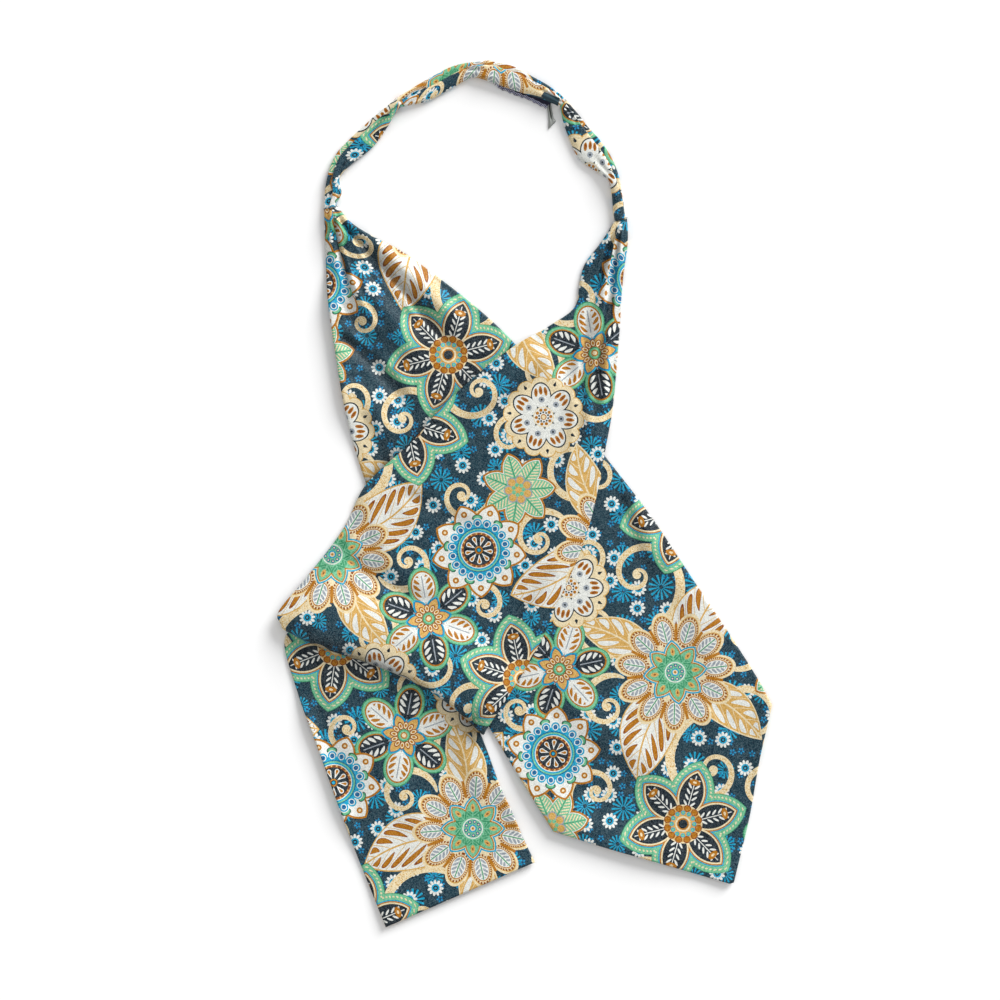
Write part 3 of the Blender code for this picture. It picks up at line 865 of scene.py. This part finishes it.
def resample(table, pitch):
    # rows joined by a smooth curve, about one pitch apart
    rows = np.array(table, float)
    at = (distances(rows[:, :2]) + distances(rows[:, 2:4])) / 2
    slopes = np.gradient(rows, at, axis=0)
    found = [rows[0]]
    for i, length in enumerate(np.diff(at)):
        count = max(1, round(length / pitch))
        for t in np.linspace(0, 1, count + 1)[1:]:
            start = (1 + 2 * t) * (1 - t) ** 2 * rows[i] + t * (1 - t) ** 2 * length * slopes[i]
            end = t * t * (3 - 2 * t) * rows[i + 1] - t * t * (1 - t) * length * slopes[i + 1]
            found.append(start + end)
    return np.array(found)


def withHem(rows):
    # closer rows beside the hem, where it rounds over
    at = distances(rows[:, :4]) / 2**0.5
    kept = at < at[-1] - rimSteps[-1] - 0.4
    places = np.concatenate([at[kept], at[-1] - rimSteps[::-1]])
    return np.stack([np.interp(places, at, column) for column in rows.T], axis=1)


def hemDistance(rows):
    at = distances(rows[:, :4]) / 2**0.5
    return (at[-1] - at)[:, None]


def across(rows, columns):
    # the plan of a piece, each point's share of its line and distance from the nearer side edge
    left, right = rows[:, None, 0:2], rows[:, None, 2:4]
    width = np.linalg.norm(right - left, axis=2)
    rim = rimSteps[None] * np.minimum(1, 0.2 * width / rimSteps[-1]) / width
    inner = np.linspace(0, 1, columns)[None, 1:-1] * (1 - 2 * rim[:, -1:]) + rim[:, -1:]
    share = np.concatenate([rim, inner, 1 - rim[:, ::-1]], axis=1)
    plan = left * (1 - share[..., None]) + right * share[..., None]
    return plan, share, np.minimum(share, 1 - share) * width


def alongLine(points, line):
    # distance to a line of points, place along it from 0 to 1, and which side (-1 or 1)
    starts, heading = line[:-1], np.diff(line, axis=0)
    lengths = np.linalg.norm(heading, axis=1)
    before = distances(line)
    offset = points[..., None, :] - starts
    t = np.clip((offset * heading).sum(-1) / lengths**2, 0, 1)
    gaps = np.linalg.norm(offset - t[..., None] * heading, axis=-1)
    nearest = gaps.argmin(-1)[..., None]
    cross = heading[:, 0] * offset[..., 1] - heading[:, 1] * offset[..., 0]
    values = gaps, before[:-1] + t * lengths, cross
    gap, place, side = (np.take_along_axis(value, nearest, -1)[..., 0] for value in values)
    return gap, place / before[-1], np.sign(side)


def bentLine(fold, count=13):
    t = np.linspace(0, 1, count)[:, None]
    start, middle, end = np.array(fold[:6], float).reshape(3, 2)
    return 2 * (t - 0.5) * (t - 1) * start - 4 * t * (t - 1) * middle + 2 * t * (t - 0.5) * end


def ridges(points, broadFolds):
    # broad soft folds that lift both faces of the cloth
    height = np.zeros(points.shape[:-1])
    for fold in broadFolds:
        gap, place, side = alongLine(points, bentLine(fold, 9))
        ends = ease(place / 0.25) * ease((1 - place) / 0.35)
        height += fold.height * hump(gap / fold.halfWidth) * ends
    return height


def creaseHeights(points, creases):
    # narrow troughs and ridges, steeper on one side, with a low shoulder either side
    height = np.zeros(points.shape[:-1])
    for i, crease in enumerate(creases):
        gap, place, side = alongLine(points, bentLine(crease))
        breadth = crease.halfWidth * (0.75 + 0.6 * place) * (1 + 0.28 * side * (-1) ** i)
        square = (gap / breadth) ** 2
        ends = ease(place / 0.12) * ease((1 - place) / 0.45)
        height += crease.height * (1 - square) * np.exp(-square / 1.4) * ends
    return height


def gathers(points, seam, pleatRows, bundle=3.4, reach=34.0):
    # the hidden layers of the pleats: a bundle at the neck seam and a ridge down each pleat
    middle = np.array([(seam.leftX + seam.rightX) / 2, (seam.leftY + seam.rightY) / 2])
    height = bundle * np.exp(-((np.linalg.norm(points - middle, axis=-1) / reach) ** 1.5))
    for pleat in pleatRows:
        gap, place, side = alongLine(points, np.array([middle, [pleat.x, pleat.y]]))
        profile = hump(gap / (pleat.halfWidth * (0.35 + 0.65 * place)))
        height += pleat.height * profile * ease(place / 0.2) * (1 - ease(place))
    return height


def slackHeights(points):
    # the same low waves in every layer, so that layers stay apart
    x, y = points[..., 0] * mm, points[..., 1] * mm
    waves = np.sin(61 * x + 23 * y + 0.7) + 0.7 * np.sin(-37 * x + 71 * y + 2.1)
    waves += 0.5 * np.sin(118 * x - 57 * y + 4.0) + 0.4 * np.sin(83 * x + 139 * y + 1.3)
    return cloth["slack"] * (waves + 2.6)


def distanceOutside(points, outline):
    # how far each point lies outside a closed outline, 0 inside it
    gap = alongLine(points, outline)[0]
    x, y = points[..., 0, None], points[..., 1, None]
    x0, y0, x1, y1 = *outline[:-1].T, *outline[1:].T
    rise = np.where(y1 == y0, 1, y1 - y0)
    hits = ((y0 > y) != (y1 > y)) & (x < x0 + (y - y0) * (x1 - x0) / rise)
    return np.where(hits.sum(-1) % 2 == 1, 0, gap)


def edgeShare(distance):
    # wall thickness beside a pressed edge, as a share of the full wall
    depth = np.clip(distance / cloth["edge"], 0, 1)
    return cloth["edgeHeight"] + (1 - cloth["edgeHeight"]) * np.sqrt(1 - (1 - depth) ** 2)


def turned(plan, turn, offset):
    # flat-cloth places for the print, turned to the way the piece was cut, in metres
    c, s = cos(radians(turn)), sin(radians(turn))
    x, y = plan[..., 0], plan[..., 1]
    return paired(x * c + y * s + offset[0], y * c - x * s + offset[1]) * mm


def seamSplit(plan, line):
    # side of the main pleat, in metres, and how much print the pleat hides there
    gap, place, side = alongLine(plan, bentLine(line))
    return paired(gap * side, line.height * (1 - ease(place))) * mm


def withHeight(plan, height):
    return np.concatenate([plan, height[..., None]], axis=2)


def addObject(name, data):
    thing = bpy.data.objects.new(name, data)
    bpy.context.scene.collection.objects.link(thing)
    return thing


def layGrid(name, points, faces, maps, paintedShade, finish):
    # a mesh in metres, with a place on its maps and an amount of painted shade for each point of a grid
    mesh = bpy.data.meshes.new(name)
    mesh.from_pydata(points * mm, [], faces)
    mesh.attributes.new("paintedShade", "FLOAT", "POINT").data.foreach_set("value", paintedShade)
    corners = np.zeros(len(mesh.loops), int)
    mesh.loops.foreach_get("vertex_index", corners)
    for label, places in maps.items():
        mesh.uv_layers.new(name=label).data.foreach_set("uv", places[corners].ravel())
    mesh.uv_layers["cloth"].active_render = True
    mesh.shade_smooth()
    mesh.materials.append(finish)
    return addObject(name, mesh)


def clothWall(name, node, finish, under, over, depth, flat, split=None):
    # two grids of points, the faces between them, and a rim round both
    print("cloth:", name)
    rows, columns = over.shape[:2]
    size = rows * columns
    index = np.arange(size).reshape(rows, columns)
    a, b, c, d = index[:-1, :-1], index[1:, :-1], index[1:, 1:], index[:-1, 1:]
    top = np.stack([a, b, c, d], -1).reshape(-1, 4) + size
    bottom = np.stack([d, c, b, a], -1).reshape(-1, 4)
    rim = np.concatenate([index[:-1, 0], index[-1, :-1], index[:0:-1, -1], index[0, :0:-1]])
    # the rim has its own lower points, so that the print runs on over the edge
    upperRim, lowerRim = rim + size, 2 * size + np.arange(len(rim))
    edge = np.stack([upperRim, lowerRim, np.roll(lowerRim, -1), np.roll(upperRim, -1)], -1)
    faces = np.concatenate([top, bottom, edge]).tolist()
    under, over, upper, depth = under.reshape(-1, 3), over.reshape(-1, 3), flat.reshape(-1, 2), depth.ravel()
    layer = np.zeros(upper.shape) if split is None else split.reshape(-1, 2)
    maps = {
        "cloth": np.concatenate([upper * (-1, 1) + cloth["undersideShift"], upper, upper[rim]]),
        "layer": np.concatenate([layer, layer, layer[rim]]),
    }
    points = np.concatenate([under, over, under[rim]])
    # painted shade on the top face, and half as much on the back face
    paintedShades = np.concatenate([depth * 0.5, depth, depth[rim]])
    piece = layGrid(name, points, faces, maps, paintedShades, finish)
    shell = bmesh.new()
    shell.from_mesh(piece.data)
    bmesh.ops.remove_doubles(shell, verts=shell.verts, dist=cloth["weld"])
    shell.to_mesh(piece.data)
    shell.free()
    if node:
        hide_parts(node)
    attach(piece, "root")
    return piece


def shapedWall(plan, lie, thickness, distance, cut):
    # the two faces of a blade, with its broad folds, fine creases and slack, and its painted shade
    creases = creaseHeights(plan, cut["creases"]) * np.clip(distance / cloth["creaseReach"], 0.3, 1)
    slack = slackHeights(plan) * np.clip(distance / cloth["slackReach"], 0.2, 1)
    base = ridges(plan, cut["folds"]) + slack
    # both faces bend, down to what lies below
    bend = np.where(creases < 0, np.maximum(creases, 0.25 - base), creases)
    under = lie + np.maximum(base + bend * (bend < 0) + 0.6 * bend * (bend > 0), 0)
    over = lie + base + bend + thickness * edgeShare(distance) + (creases - bend)
    over = np.maximum(over, under + cloth["thinnest"])
    # painted shade, darker in the troughs of the creases and close to the edges
    depth = np.clip(creases / -2.4, 0, 1) + 0.35 * np.clip(0.5 - distance / 5, 0, 1)
    return withHeight(plan, under), withHeight(plan, over), depth


def pleatedWall(plan, cut):
    # wall thickness of a blade with its pleats, pinched at the neck seam
    pinch = cloth["seamPinch"] * (1 - ease(np.arange(len(plan)) / 3))[:, None]
    return (cloth["wall"] + gathers(plan, cut["rows"][0], cut["pleats"])) * (1 - pinch)


def cornerShade(plan, reach):
    # painted shade round the corner where the tuck runs in beside the left blade
    return tuck["shade"] * np.exp(-((np.linalg.norm(plan - tuck["corner"], axis=2) / reach) ** 2))


def hemLift(rows):
    # the last stretch before a hem stands a little off what it lies on
    return cloth["hemLift"] * (1 - ease(hemDistance(rows) / cloth["hemReach"]))


def leftRows():
    blade, point = (resample(leftBladeCut[part], cloth["pitch"]) for part in ("rows", "point"))
    return withHem(np.vstack([blade, point[1:]]))


def makeLeftBlade():
    cut, rows = leftBladeCut, leftRows()
    plan, share, distance = across(rows, cloth["columns"]["left"])
    distance = np.minimum(distance, hemDistance(rows))
    under, over, depth = shapedWall(plan, hemLift(rows), pleatedWall(plan, cut), distance, cut)
    # painted shadow beside the right blade's edge, darkest at the notch where the left blade goes under it
    lapRows = rightPanelCut["rows"][slice(*cloth["lapRows"])]
    gap, place, side = alongLine(plan, np.array(lapRows)[:, 0:2])
    near = np.exp(-gap / (cloth["lapReach"] * (0.5 + 0.5 * place)))
    depth += cloth["lapShade"] * (0.3 + 0.7 * ease(place / 0.9)) * near
    depth = np.minimum(depth, cloth["darkest"])
    flat, split = turned(plan, cut["turn"], cut["offset"]), seamSplit(plan, cut["seamLine"])
    return clothWall("leftBlade", "left_blade", printedSilk, under, over, depth, flat, split)


def makeRightPanel():
    cut, wall, gap = rightPanelCut, cloth["wall"], cloth["gap"]
    plan, share, distance = across(resample(cut["rows"], cloth["pitch"]), cloth["columns"]["panel"])
    bow = tuck["bow"] * np.sin(pi * share[-1] ** 1.5)
    nearTuck = 1 - ease(alongLine(plan, plan[-1])[0] / tuck["bowReach"])
    plan = plan + (nearTuck * bow)[..., None] * tuckInward
    left = leftRows()[::4]
    outline = np.vstack([left[:, 0:2], left[::-1, 2:4], left[:1, 0:2]])
    beside = distanceOutside(plan, outline)
    overLeft = (wall + gap) * (1 - ease((beside - tuck["stepMargin"]) / tuck["stepSlope"]))
    fromTuck = alongLine(plan, plan[-1, ::4])[0]
    radius = tuck["radius"] * (tuck["leftRadius"] + (1 - tuck["leftRadius"]) * ease(share[-1] / 0.16))
    tuckHeight = 2 * (wall + gap) - gap + 2 * radius
    overTuck = tuckHeight * (1 - ease((fromTuck - tuck["flat"]) / tuck["slope"]))
    lie = np.maximum(overLeft, overTuck)
    under, over, depth = shapedWall(plan, lie, pleatedWall(plan, cut), distance, cut)
    # painted shade above the tuck's rolled edge, strongest towards its middle, and round its corner
    middle = np.sin(pi * share**0.55) ** 1.5
    depth += tuck["shade"] * np.clip(1 - fromTuck / tuck["shadeReach"], 0, 1) ** 1.4 * middle
    depth += cornerShade(plan, tuck["panelCorner"])
    depth = np.minimum(depth, cloth["darkest"])

    # the inside face turns round a line one radius below it, and the outside face follows
    wallHere = (over[-1, :, 2] - under[-1, :, 2])[:, None]
    radius = radius[:, None]
    axis = under[-1] - radius * [0, 0, 1]
    outward = np.append(-tuckInward, 0) + (1 - ease(share[-1] / 0.2))[:, None] * tuck["leftLean"]
    angles = np.linspace(pi / 2, -pi / 2, tuck["steps"] + 1)[1:, None, None]
    turn = np.cos(angles) * outward + np.sin(angles) * [0, 0, 1]
    inside, outside = axis + radius * turn, axis + (radius + wallHere) * turn
    rolled = plan[-1] - tuckInward * (pi / 2 - angles) * (radius + wallHere)
    reach = tuck["leftDepth"] + (tuck["rightDepth"] - tuck["leftDepth"]) * share[-1]
    back = reach[:, None] * np.linspace(0, 1, tuck["backRows"] + 1)[1:, None, None]
    under = np.vstack([under, inside, inside[-1] + np.append(tuckInward, 0) * back])
    over = np.vstack([over, outside, outside[-1] + np.append(tuckInward, 0) * back])
    flat = np.vstack([plan, rolled, rolled[-1] - tuckInward * back])
    repeats = [1] * (len(plan) - 1) + [len(flat) - len(plan) + 1]
    split, depth = (
        np.repeat(values, repeats, axis=0) for values in (seamSplit(plan, cut["seamLine"]), depth)
    )
    flat = turned(flat, cut["turn"], cut["offset"])
    return clothWall("rightBladePanel", "right_blade_panel", printedSilk, under, over, depth, flat, split)


def makeRightEnd():
    cut = rightEndCut
    rows = withHem(resample(cut["rows"], cloth["pitch"]))
    plan, share, distance = across(rows, cloth["columns"]["end"])
    distance = np.minimum(distance, hemDistance(rows))
    under, over, depth = shapedWall(plan, hemLift(rows), cloth["wall"], distance, cut)
    # painted shade round the tuck's corner
    depth += cornerShade(plan, tuck["endCorner"])
    flat = turned(plan, cut["turn"], cut["offset"])
    return clothWall("rightBladeEnd", "right_blade_end", printedSilk, under, over, depth, flat)


def bandOutline():
    # the band's profile with its corners eased twice; the lip stays sharp
    outline = np.array(bandProfile)
    for _ in range(2):
        eased = [outline[0]]
        for a, b in zip(outline[:-1], outline[1:]):
            eased += [a * 0.75 + b * 0.25, a * 0.25 + b * 0.75]
        outline = np.array(eased + [outline[-1]])
    return outline


def makeNeckband(side):
    cut = neckbandCuts[side]
    name = "neckband" + side.capitalize()
    print("cloth:", name)
    rows = resample(cut["rows"], cloth["bandPitch"])
    part, level = (column[None] for column in bandOutline().T)
    outer, inner = rows[:, None, 0:2], rows[:, None, 2:4]
    height, lift, lip = (rows[:, i, None] for i in (4, 5, 6))
    share = np.where(part < 1, part * lip, lip + (part - 1) * (1 - lip))
    plan = outer + (inner - outer) * share[..., None]
    creases = creaseHeights(plan, cut["creases"])
    rise = height * level + creases * np.clip(level * 1.6 - 0.6, 0, 1)
    grid = withHeight(plan, np.maximum(lift, 0) + np.maximum(rise, 0))
    along = distances((outer + inner)[:, 0] / 2)[:, None]
    girth = np.array([distances(ring) for ring in grid])
    flat = paired(along, girth)
    split = paired(np.where(part < 1, -mm, mm) + 0 * lip, cloth["plyShift"])
    index = np.arange(share.size).reshape(share.shape)
    a, b = index, np.roll(index, -1, axis=1)
    faces = np.stack([a[:-1], b[:-1], b[1:], a[1:]], -1).reshape(-1, 4).tolist()
    faces += [index[0, ::-1].tolist(), index[-1].tolist()]
    flat = turned(flat, cut["turn"], cut["offset"])
    maps = {"cloth": flat.reshape(-1, 2), "layer": split.reshape(-1, 2)}
    # painted shade in the creases and a painted shadow under the lip
    depth = np.clip(creases / -1.6, 0, 1) + 0.5 * np.exp(-(((part - 1) * 5) ** 2)) * (part <= 1)
    piece = layGrid(name, grid.reshape(-1, 3), faces, maps, depth.ravel(), printedSilk)
    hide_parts("neckband_" + side)
    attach(piece, "root")
    return piece


print("silk")
twill = weaveGroup()
printedSilk = silkFinish()
leftBlade = makeLeftBlade()
rightBladePanel = makeRightPanel()
rightBladeEnd = makeRightEnd()
neckbands = [makeNeckband(side) for side in ("left", "top", "right")]


def surfaceHeights(plan, *pieces):
    # height of the uppermost piece under each point, in millimetres; -1 where there is none
    trees = [BVHTree.FromObject(p, bpy.context.evaluated_depsgraph_get()) for p in pieces]
    found = []
    for x, y in plan.reshape(-1, 2) * mm:
        start = (x, y, 50 * mm)
        hits = [tree.ray_cast(start, (0, 0, -1))[0] for tree in trees]
        found.append(max([h.z / mm for h in hits if h] + [-1]))
    return np.array(found).reshape(plan.shape[:-1])


tape = {
    "thickness": 1.1,
    "width": 8.5,
    "pitch": 0.55,
    "ripple": 0.3,
    "ripplePitch": 4.3,
    "secondPitch": 2.7,
    "rows": sections(  # lower edge, then upper edge
        -18.8, 263.7, -21.6, 269.6,  -16.9, 259.8, -17.5, 268.4,  -12.5, 258, -11, 265.8,
        -4.5, 254.6, -1, 261.3,  2, 252.4, 6.5, 257.9,  9.6, 248.6, 13.6, 254.6,
        13.6, 246.9, 18.6, 252.2,
    ),
    "ribs": {"Pitch": 0.0009, "Length": 1.0, "Thickness": 0.0005, "Turn": radians(90)},
    "flecks": {
        "Pitch": 0.0011, "Length": 0.0010, "Thickness": 0.00058,
        "Slant": radians(38), "Waver": 0.5, "Seed": 4,
    },
}


def makeTape():
    rows = resample(tape["rows"], tape["pitch"])
    along = distances(rows[:, 0:2])
    inward = rows[:, 2:4] - rows[:, 0:2]
    inward /= np.linalg.norm(inward, axis=1)[:, None]
    wave = 2 * pi * along
    ripple = np.sin(wave / tape["ripplePitch"]) + 0.5 * np.sin(wave / tape["secondPitch"] + 1)
    rows[:, 0:2] += inward * (ripple * tape["ripple"])[:, None]
    plan, share, distance = across(rows, cloth["columns"]["tape"])
    ends = np.minimum(along, along[-1] - along)[:, None]
    over = withHeight(plan, tape["thickness"] * edgeShare(np.minimum(distance, ends + 0.5)))
    level = np.zeros(share.shape)
    flat = paired(along[:, None], share * tape["width"]) * mm
    under = withHeight(plan, level)
    piece = clothWall("adjusterTape", "adjuster_tape", tapeFinish, under, over, level, flat)
    return piece, over, np.linalg.norm(rows[:, 2:4] - rows[:, 0:2], axis=1)


bandTab = {  # the tape's end where it comes up over the end of the band
    "thickness": 0.45,
    "above": 0.12,  # what it lies on
    "pitch": 0.6,
    "turn": 24,
    "rows": sections(
        10.2, 254, 12.4, 257,  12.4, 252.3, 14.7, 255.8,  15.2, 250.6, 17.6, 254.6,
        18.4, 249.2, 19.8, 253.7,  21, 247.9, 22.2, 252.9,
    ),
}


def makeBandTab():
    rows = resample(bandTab["rows"], bandTab["pitch"])
    plan, share, distance = across(rows, cloth["columns"]["tape"])
    under = surfaceHeights(plan, *neckbands[1:])
    under = np.where(under < 0, under.max() * 0.6, under)
    for _ in range(2):
        padded = np.pad(under, 1, mode="edge")
        beside = padded[:-2, 1:-1] + padded[2:, 1:-1] + padded[1:-1, :-2] + padded[1:-1, 2:]
        under = (beside + 2 * under) / 6
    under = under + bandTab["above"]
    over = withHeight(plan, under + bandTab["thickness"] * edgeShare(distance))
    under, depth = withHeight(plan, under), np.zeros(share.shape)
    flat = turned(plan, bandTab["turn"], (0, 0))
    piece = clothWall("bandTab", None, tabFinish, under, over, depth, flat)
    return piece


hook = {
    "thickness": 1.0,
    "above": 0.1,  # underside's height over the floor
    "pitch": 0.4,
    "columns": 17,
    "rim": 0.5,  # depth of the channel, as a share of the thickness
    "channel": (0.56, 0.16),  # its middle and half width, as shares of the hook's width
    "ridge": 0.14,
    "size": (3, 16),  # of its brushing map
    "roughness": 0.36,
    "streaks": 0.3,
    "brushing": (9000, 700, 1),
    "channelShade": 0.85,
    "bump": 0.2,
    "metal": (0.33, 0.345, 0.33),
    "rows": sections(
        14.6, 249.4, 16.5, 250.2,  14.3, 246.8, 16.9, 247.6,  14.7, 243.4, 17.6, 243.9,
        15.1, 239.4, 18.3, 240.8,  15.1, 237, 18.9, 239.7,  15, 234.4, 19.5, 238.9,
        15.1, 233.3, 19.5, 238.2,
    ),
}


def makeHook():
    rows = resample(hook["rows"], hook["pitch"])
    share = np.linspace(0, 1, hook["columns"])[None]
    plan = rows[:, None, 0:2] * (1 - share[..., None]) + rows[:, None, 2:4] * share[..., None]
    along = np.linspace(0, 1, len(rows))[:, None]
    middle, halfWidth = hook["channel"]
    channel = np.exp(-(((share - middle) / halfWidth) ** 2)) * (1 - ease((along - 0.55) / 0.3))
    side = ease(np.minimum(share, 1 - share) / 0.14)
    tip = ease((1 - along) / 0.05)
    rise = (0.35 + 0.65 * side * tip) * (1 - hook["rim"] * channel)
    ridge = hook["ridge"] * np.exp(-(((share - 0.2 - 0.15 * along) / 0.1) ** 2)) * ease(along / 0.5)
    over = withHeight(plan, hook["above"] + hook["thickness"] * (rise + ridge * side))
    under = withHeight(plan, np.full(rise.shape, hook["above"]))
    # painted shade in the channel and along the rounded sides
    dark = np.clip(channel * 1.1 + 0.5 * (1 - side), 0, 1)
    width, length = hook["size"]
    flat = paired(share * width, along * length) * mm
    return clothWall("hookPlate", "hook", steelFinish(), under, over, dark, flat)


def threadTree():
    # threads set along a line: stitches, flecks and ribs
    numbers = dict.fromkeys(("Pitch", "Length", "Thickness", "Turn", "Slant", "Waver"), "Float")
    inputs = {"Line": "Geometry", **numbers, "Seed": "Int", "Thread": "Material"}
    tree, values, out = newGroup("threadRow", inputs, {"Threads": "Geometry"}, "GeometryNodeTree")
    line, pitch, length, thickness, turn, slant, waver, seed, thread = values
    curve = addNode(tree, "GeometryNodeMeshToCurve", {"Mesh": line})
    evenly = {"Curve": curve, "Length": pitch}
    points = addNode(tree, "GeometryNodeResampleCurve", evenly, mode="LENGTH")
    bead = addNode(tree, "GeometryNodeMeshUVSphere", {"Segments": 8, "Rings": 5, "Radius": 0.5})
    reach = addNode(tree, "GeometryNodeInputNamedAttribute", {"Name": "reach"}, "Attribute")
    luck = addNode(tree, "FunctionNodeRandomValue", {2: -1, 3: 1, "Seed": seed}, 1)
    size = joined(length * reach * (1 + luck * waver * 0.4), thickness, thickness * 0.7)
    tangent = {"Vector": addNode(tree, "GeometryNodeInputTangent")}
    heading = addNode(tree, "FunctionNodeAlignRotationToVector", tangent, axis="X", pivot_axis="Z")
    byTurns = work("MODULO", addNode(tree, "GeometryNodeInputIndex"), 2) * 2 - 1
    angles = joined(0, 0, turn + byTurns * slant + luck * waver)
    swing = {"Rotation": heading, "Rotate By": addNode(tree, "FunctionNodeEulerToRotation", {0: angles})}
    facing = addNode(tree, "FunctionNodeRotateRotation", swing, rotation_space="LOCAL")
    placed = {"Points": points, "Instance": bead, "Rotation": facing, "Scale": size}
    row = addNode(tree, "GeometryNodeInstanceOnPoints", placed)
    real = addNode(tree, "GeometryNodeRealizeInstances", {0: row})
    feed(out[0], addNode(tree, "GeometryNodeSetMaterial", {"Geometry": real, "Material": thread}))
    return tree


def layThreads(name, lines, finish, values, reach=None):
    # threads along each line of points, given in millimetres
    mesh = bpy.data.meshes.new(name + "Line")
    counts = np.cumsum([0] + [len(line) for line in lines])
    edges = [(i, i + 1) for a, b in zip(counts[:-1], counts[1:]) for i in range(a, b - 1)]
    mesh.from_pydata((np.vstack(lines) * mm).tolist(), edges, [])
    lengths = np.ones(counts[-1]) if reach is None else reach * mm
    mesh.attributes.new("reach", "FLOAT", "POINT").data.foreach_set("value", lengths)
    guide = addObject(name + "Line", mesh)
    nodes = guide.modifiers.new("threads", "NODES")
    nodes.node_group = threadRow
    values = {**values, "Thread": finish}
    for item in threadRow.interface.items_tree:
        if item.in_out == "INPUT" and item.name in values:
            nodes[item.identifier] = values[item.name]
    drawn = guide.evaluated_get(bpy.context.evaluated_depsgraph_get())
    result = bpy.data.meshes.new_from_object(drawn)
    bpy.data.objects.remove(guide)
    result.name = name
    result.shade_smooth()
    laid = addObject(name, result)
    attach(laid, "root")
    print("threads:", name, len(result.polygons), "faces")
    return laid


def seamLine(x0, y0, x1, y1, *pieces, lift=0.1, count=25):
    # a straight line laid over the pieces
    plan = np.linspace((x0, y0), (x1, y1), count)
    heights = surfaceHeights(plan, *pieces)
    kept = heights > 0
    return np.column_stack([plan[kept], heights[kept] + lift])


print("tape and hook")
tapeFinish = plainFinish("ribbedTape", "tapeNavy", ribs=tape["ribs"]["Pitch"])
tabFinish = plainFinish("plainSilk", "ground", ribs=silk["weavePitch"])
adjusterTape, tapeTop, tapeWidths = makeTape()
tab = makeBandTab()
makeHook()

print("threads")
stitches = {
    "Pitch": 0.0013, "Length": 0.0011, "Thickness": 0.0004,
    "Slant": radians(14), "Waver": 0.15, "Seed": 9,
}
threadRow = threadTree()
lavenderThread = plainFinish("lavenderThread", "lavender")
navyThread = plainFinish("navyThread", "threadNavy")
middleLine = [tapeTop[:, tapeTop.shape[1] // 2]]
tapeRibs = layThreads("tapeRibs", middleLine, tapeFinish, tape["ribs"], reach=tapeWidths * 0.9)
fleckLines = [tapeTop[1:-1, 2] + (0, 0, 0.2), tapeTop[2:-1, 4] + (0, 0, 0.25)]
tapeFlecks = layThreads("tapeFlecks", fleckLines, lavenderThread, tape["flecks"])
seamLines = [
    seamLine(-128.4, 182.2, -120.3, 183.8, leftBlade, neckbands[0]),
    seamLine(57.6, 174.6, 65.0, 176.5, rightBladePanel, neckbands[2]),
    seamLine(10.8, 254.0, 12.5, 256.5, tab, neckbands[1]),
    seamLine(13.0, 256.2, 21.6, 252.9, tab, neckbands[1]),
]
seamStitches = layThreads("seamStitches", seamLines, navyThread, stitches)

print("floor, lights and camera")
stageValues = {
    "world": 0.64,
    "key": 4.6,
    "keySoftness": 34,
    "keyFrom": (0.88, 1.15, 0.57),
    "cameraAt": (-0.016, -0.00384, 2.5),
    "view": 0.64,
    "floorSize": 6,
    "floorHeight": -0.0003,
    "floorInk": (0.9, 0.9, 0.9, 1),
    "floorRoughness": 0.9,
}
floorPlace = (0, 0, stageValues["floorHeight"])
bpy.ops.mesh.primitive_plane_add(size=stageValues["floorSize"], location=floorPlace)
floor = bpy.context.object
floor.name = "floor"
floorLook = {"Base Color": stageValues["floorInk"], "Roughness": stageValues["floorRoughness"]}
floor.data.materials.append(newFinish("paleFloor", floorLook)[0])

world = bpy.data.worlds.new("studio")
world.use_nodes = True
background = world.node_tree.nodes["Background"].inputs
feed(background["Color"], (1, 1, 1, 1))
feed(background["Strength"], stageValues["world"])
bpy.context.scene.world = world

key = addObject("keyLamp", bpy.data.lights.new("keyLamp", "SUN"))
key.data.angle = radians(stageValues["keySoftness"])
key.data.energy = stageValues["key"]
key.location = stageValues["keyFrom"]
key.rotation_euler = (-key.location).to_track_quat("-Z", "Y").to_euler()

camera = addObject("camera", bpy.data.cameras.new("camera"))
camera.location = stageValues["cameraAt"]
camera.data.lens = camera.data.sensor_width * camera.location.z / stageValues["view"]
bpy.context.scene.camera = camera
bpy.context.scene.view_settings.view_transform = "Standard"
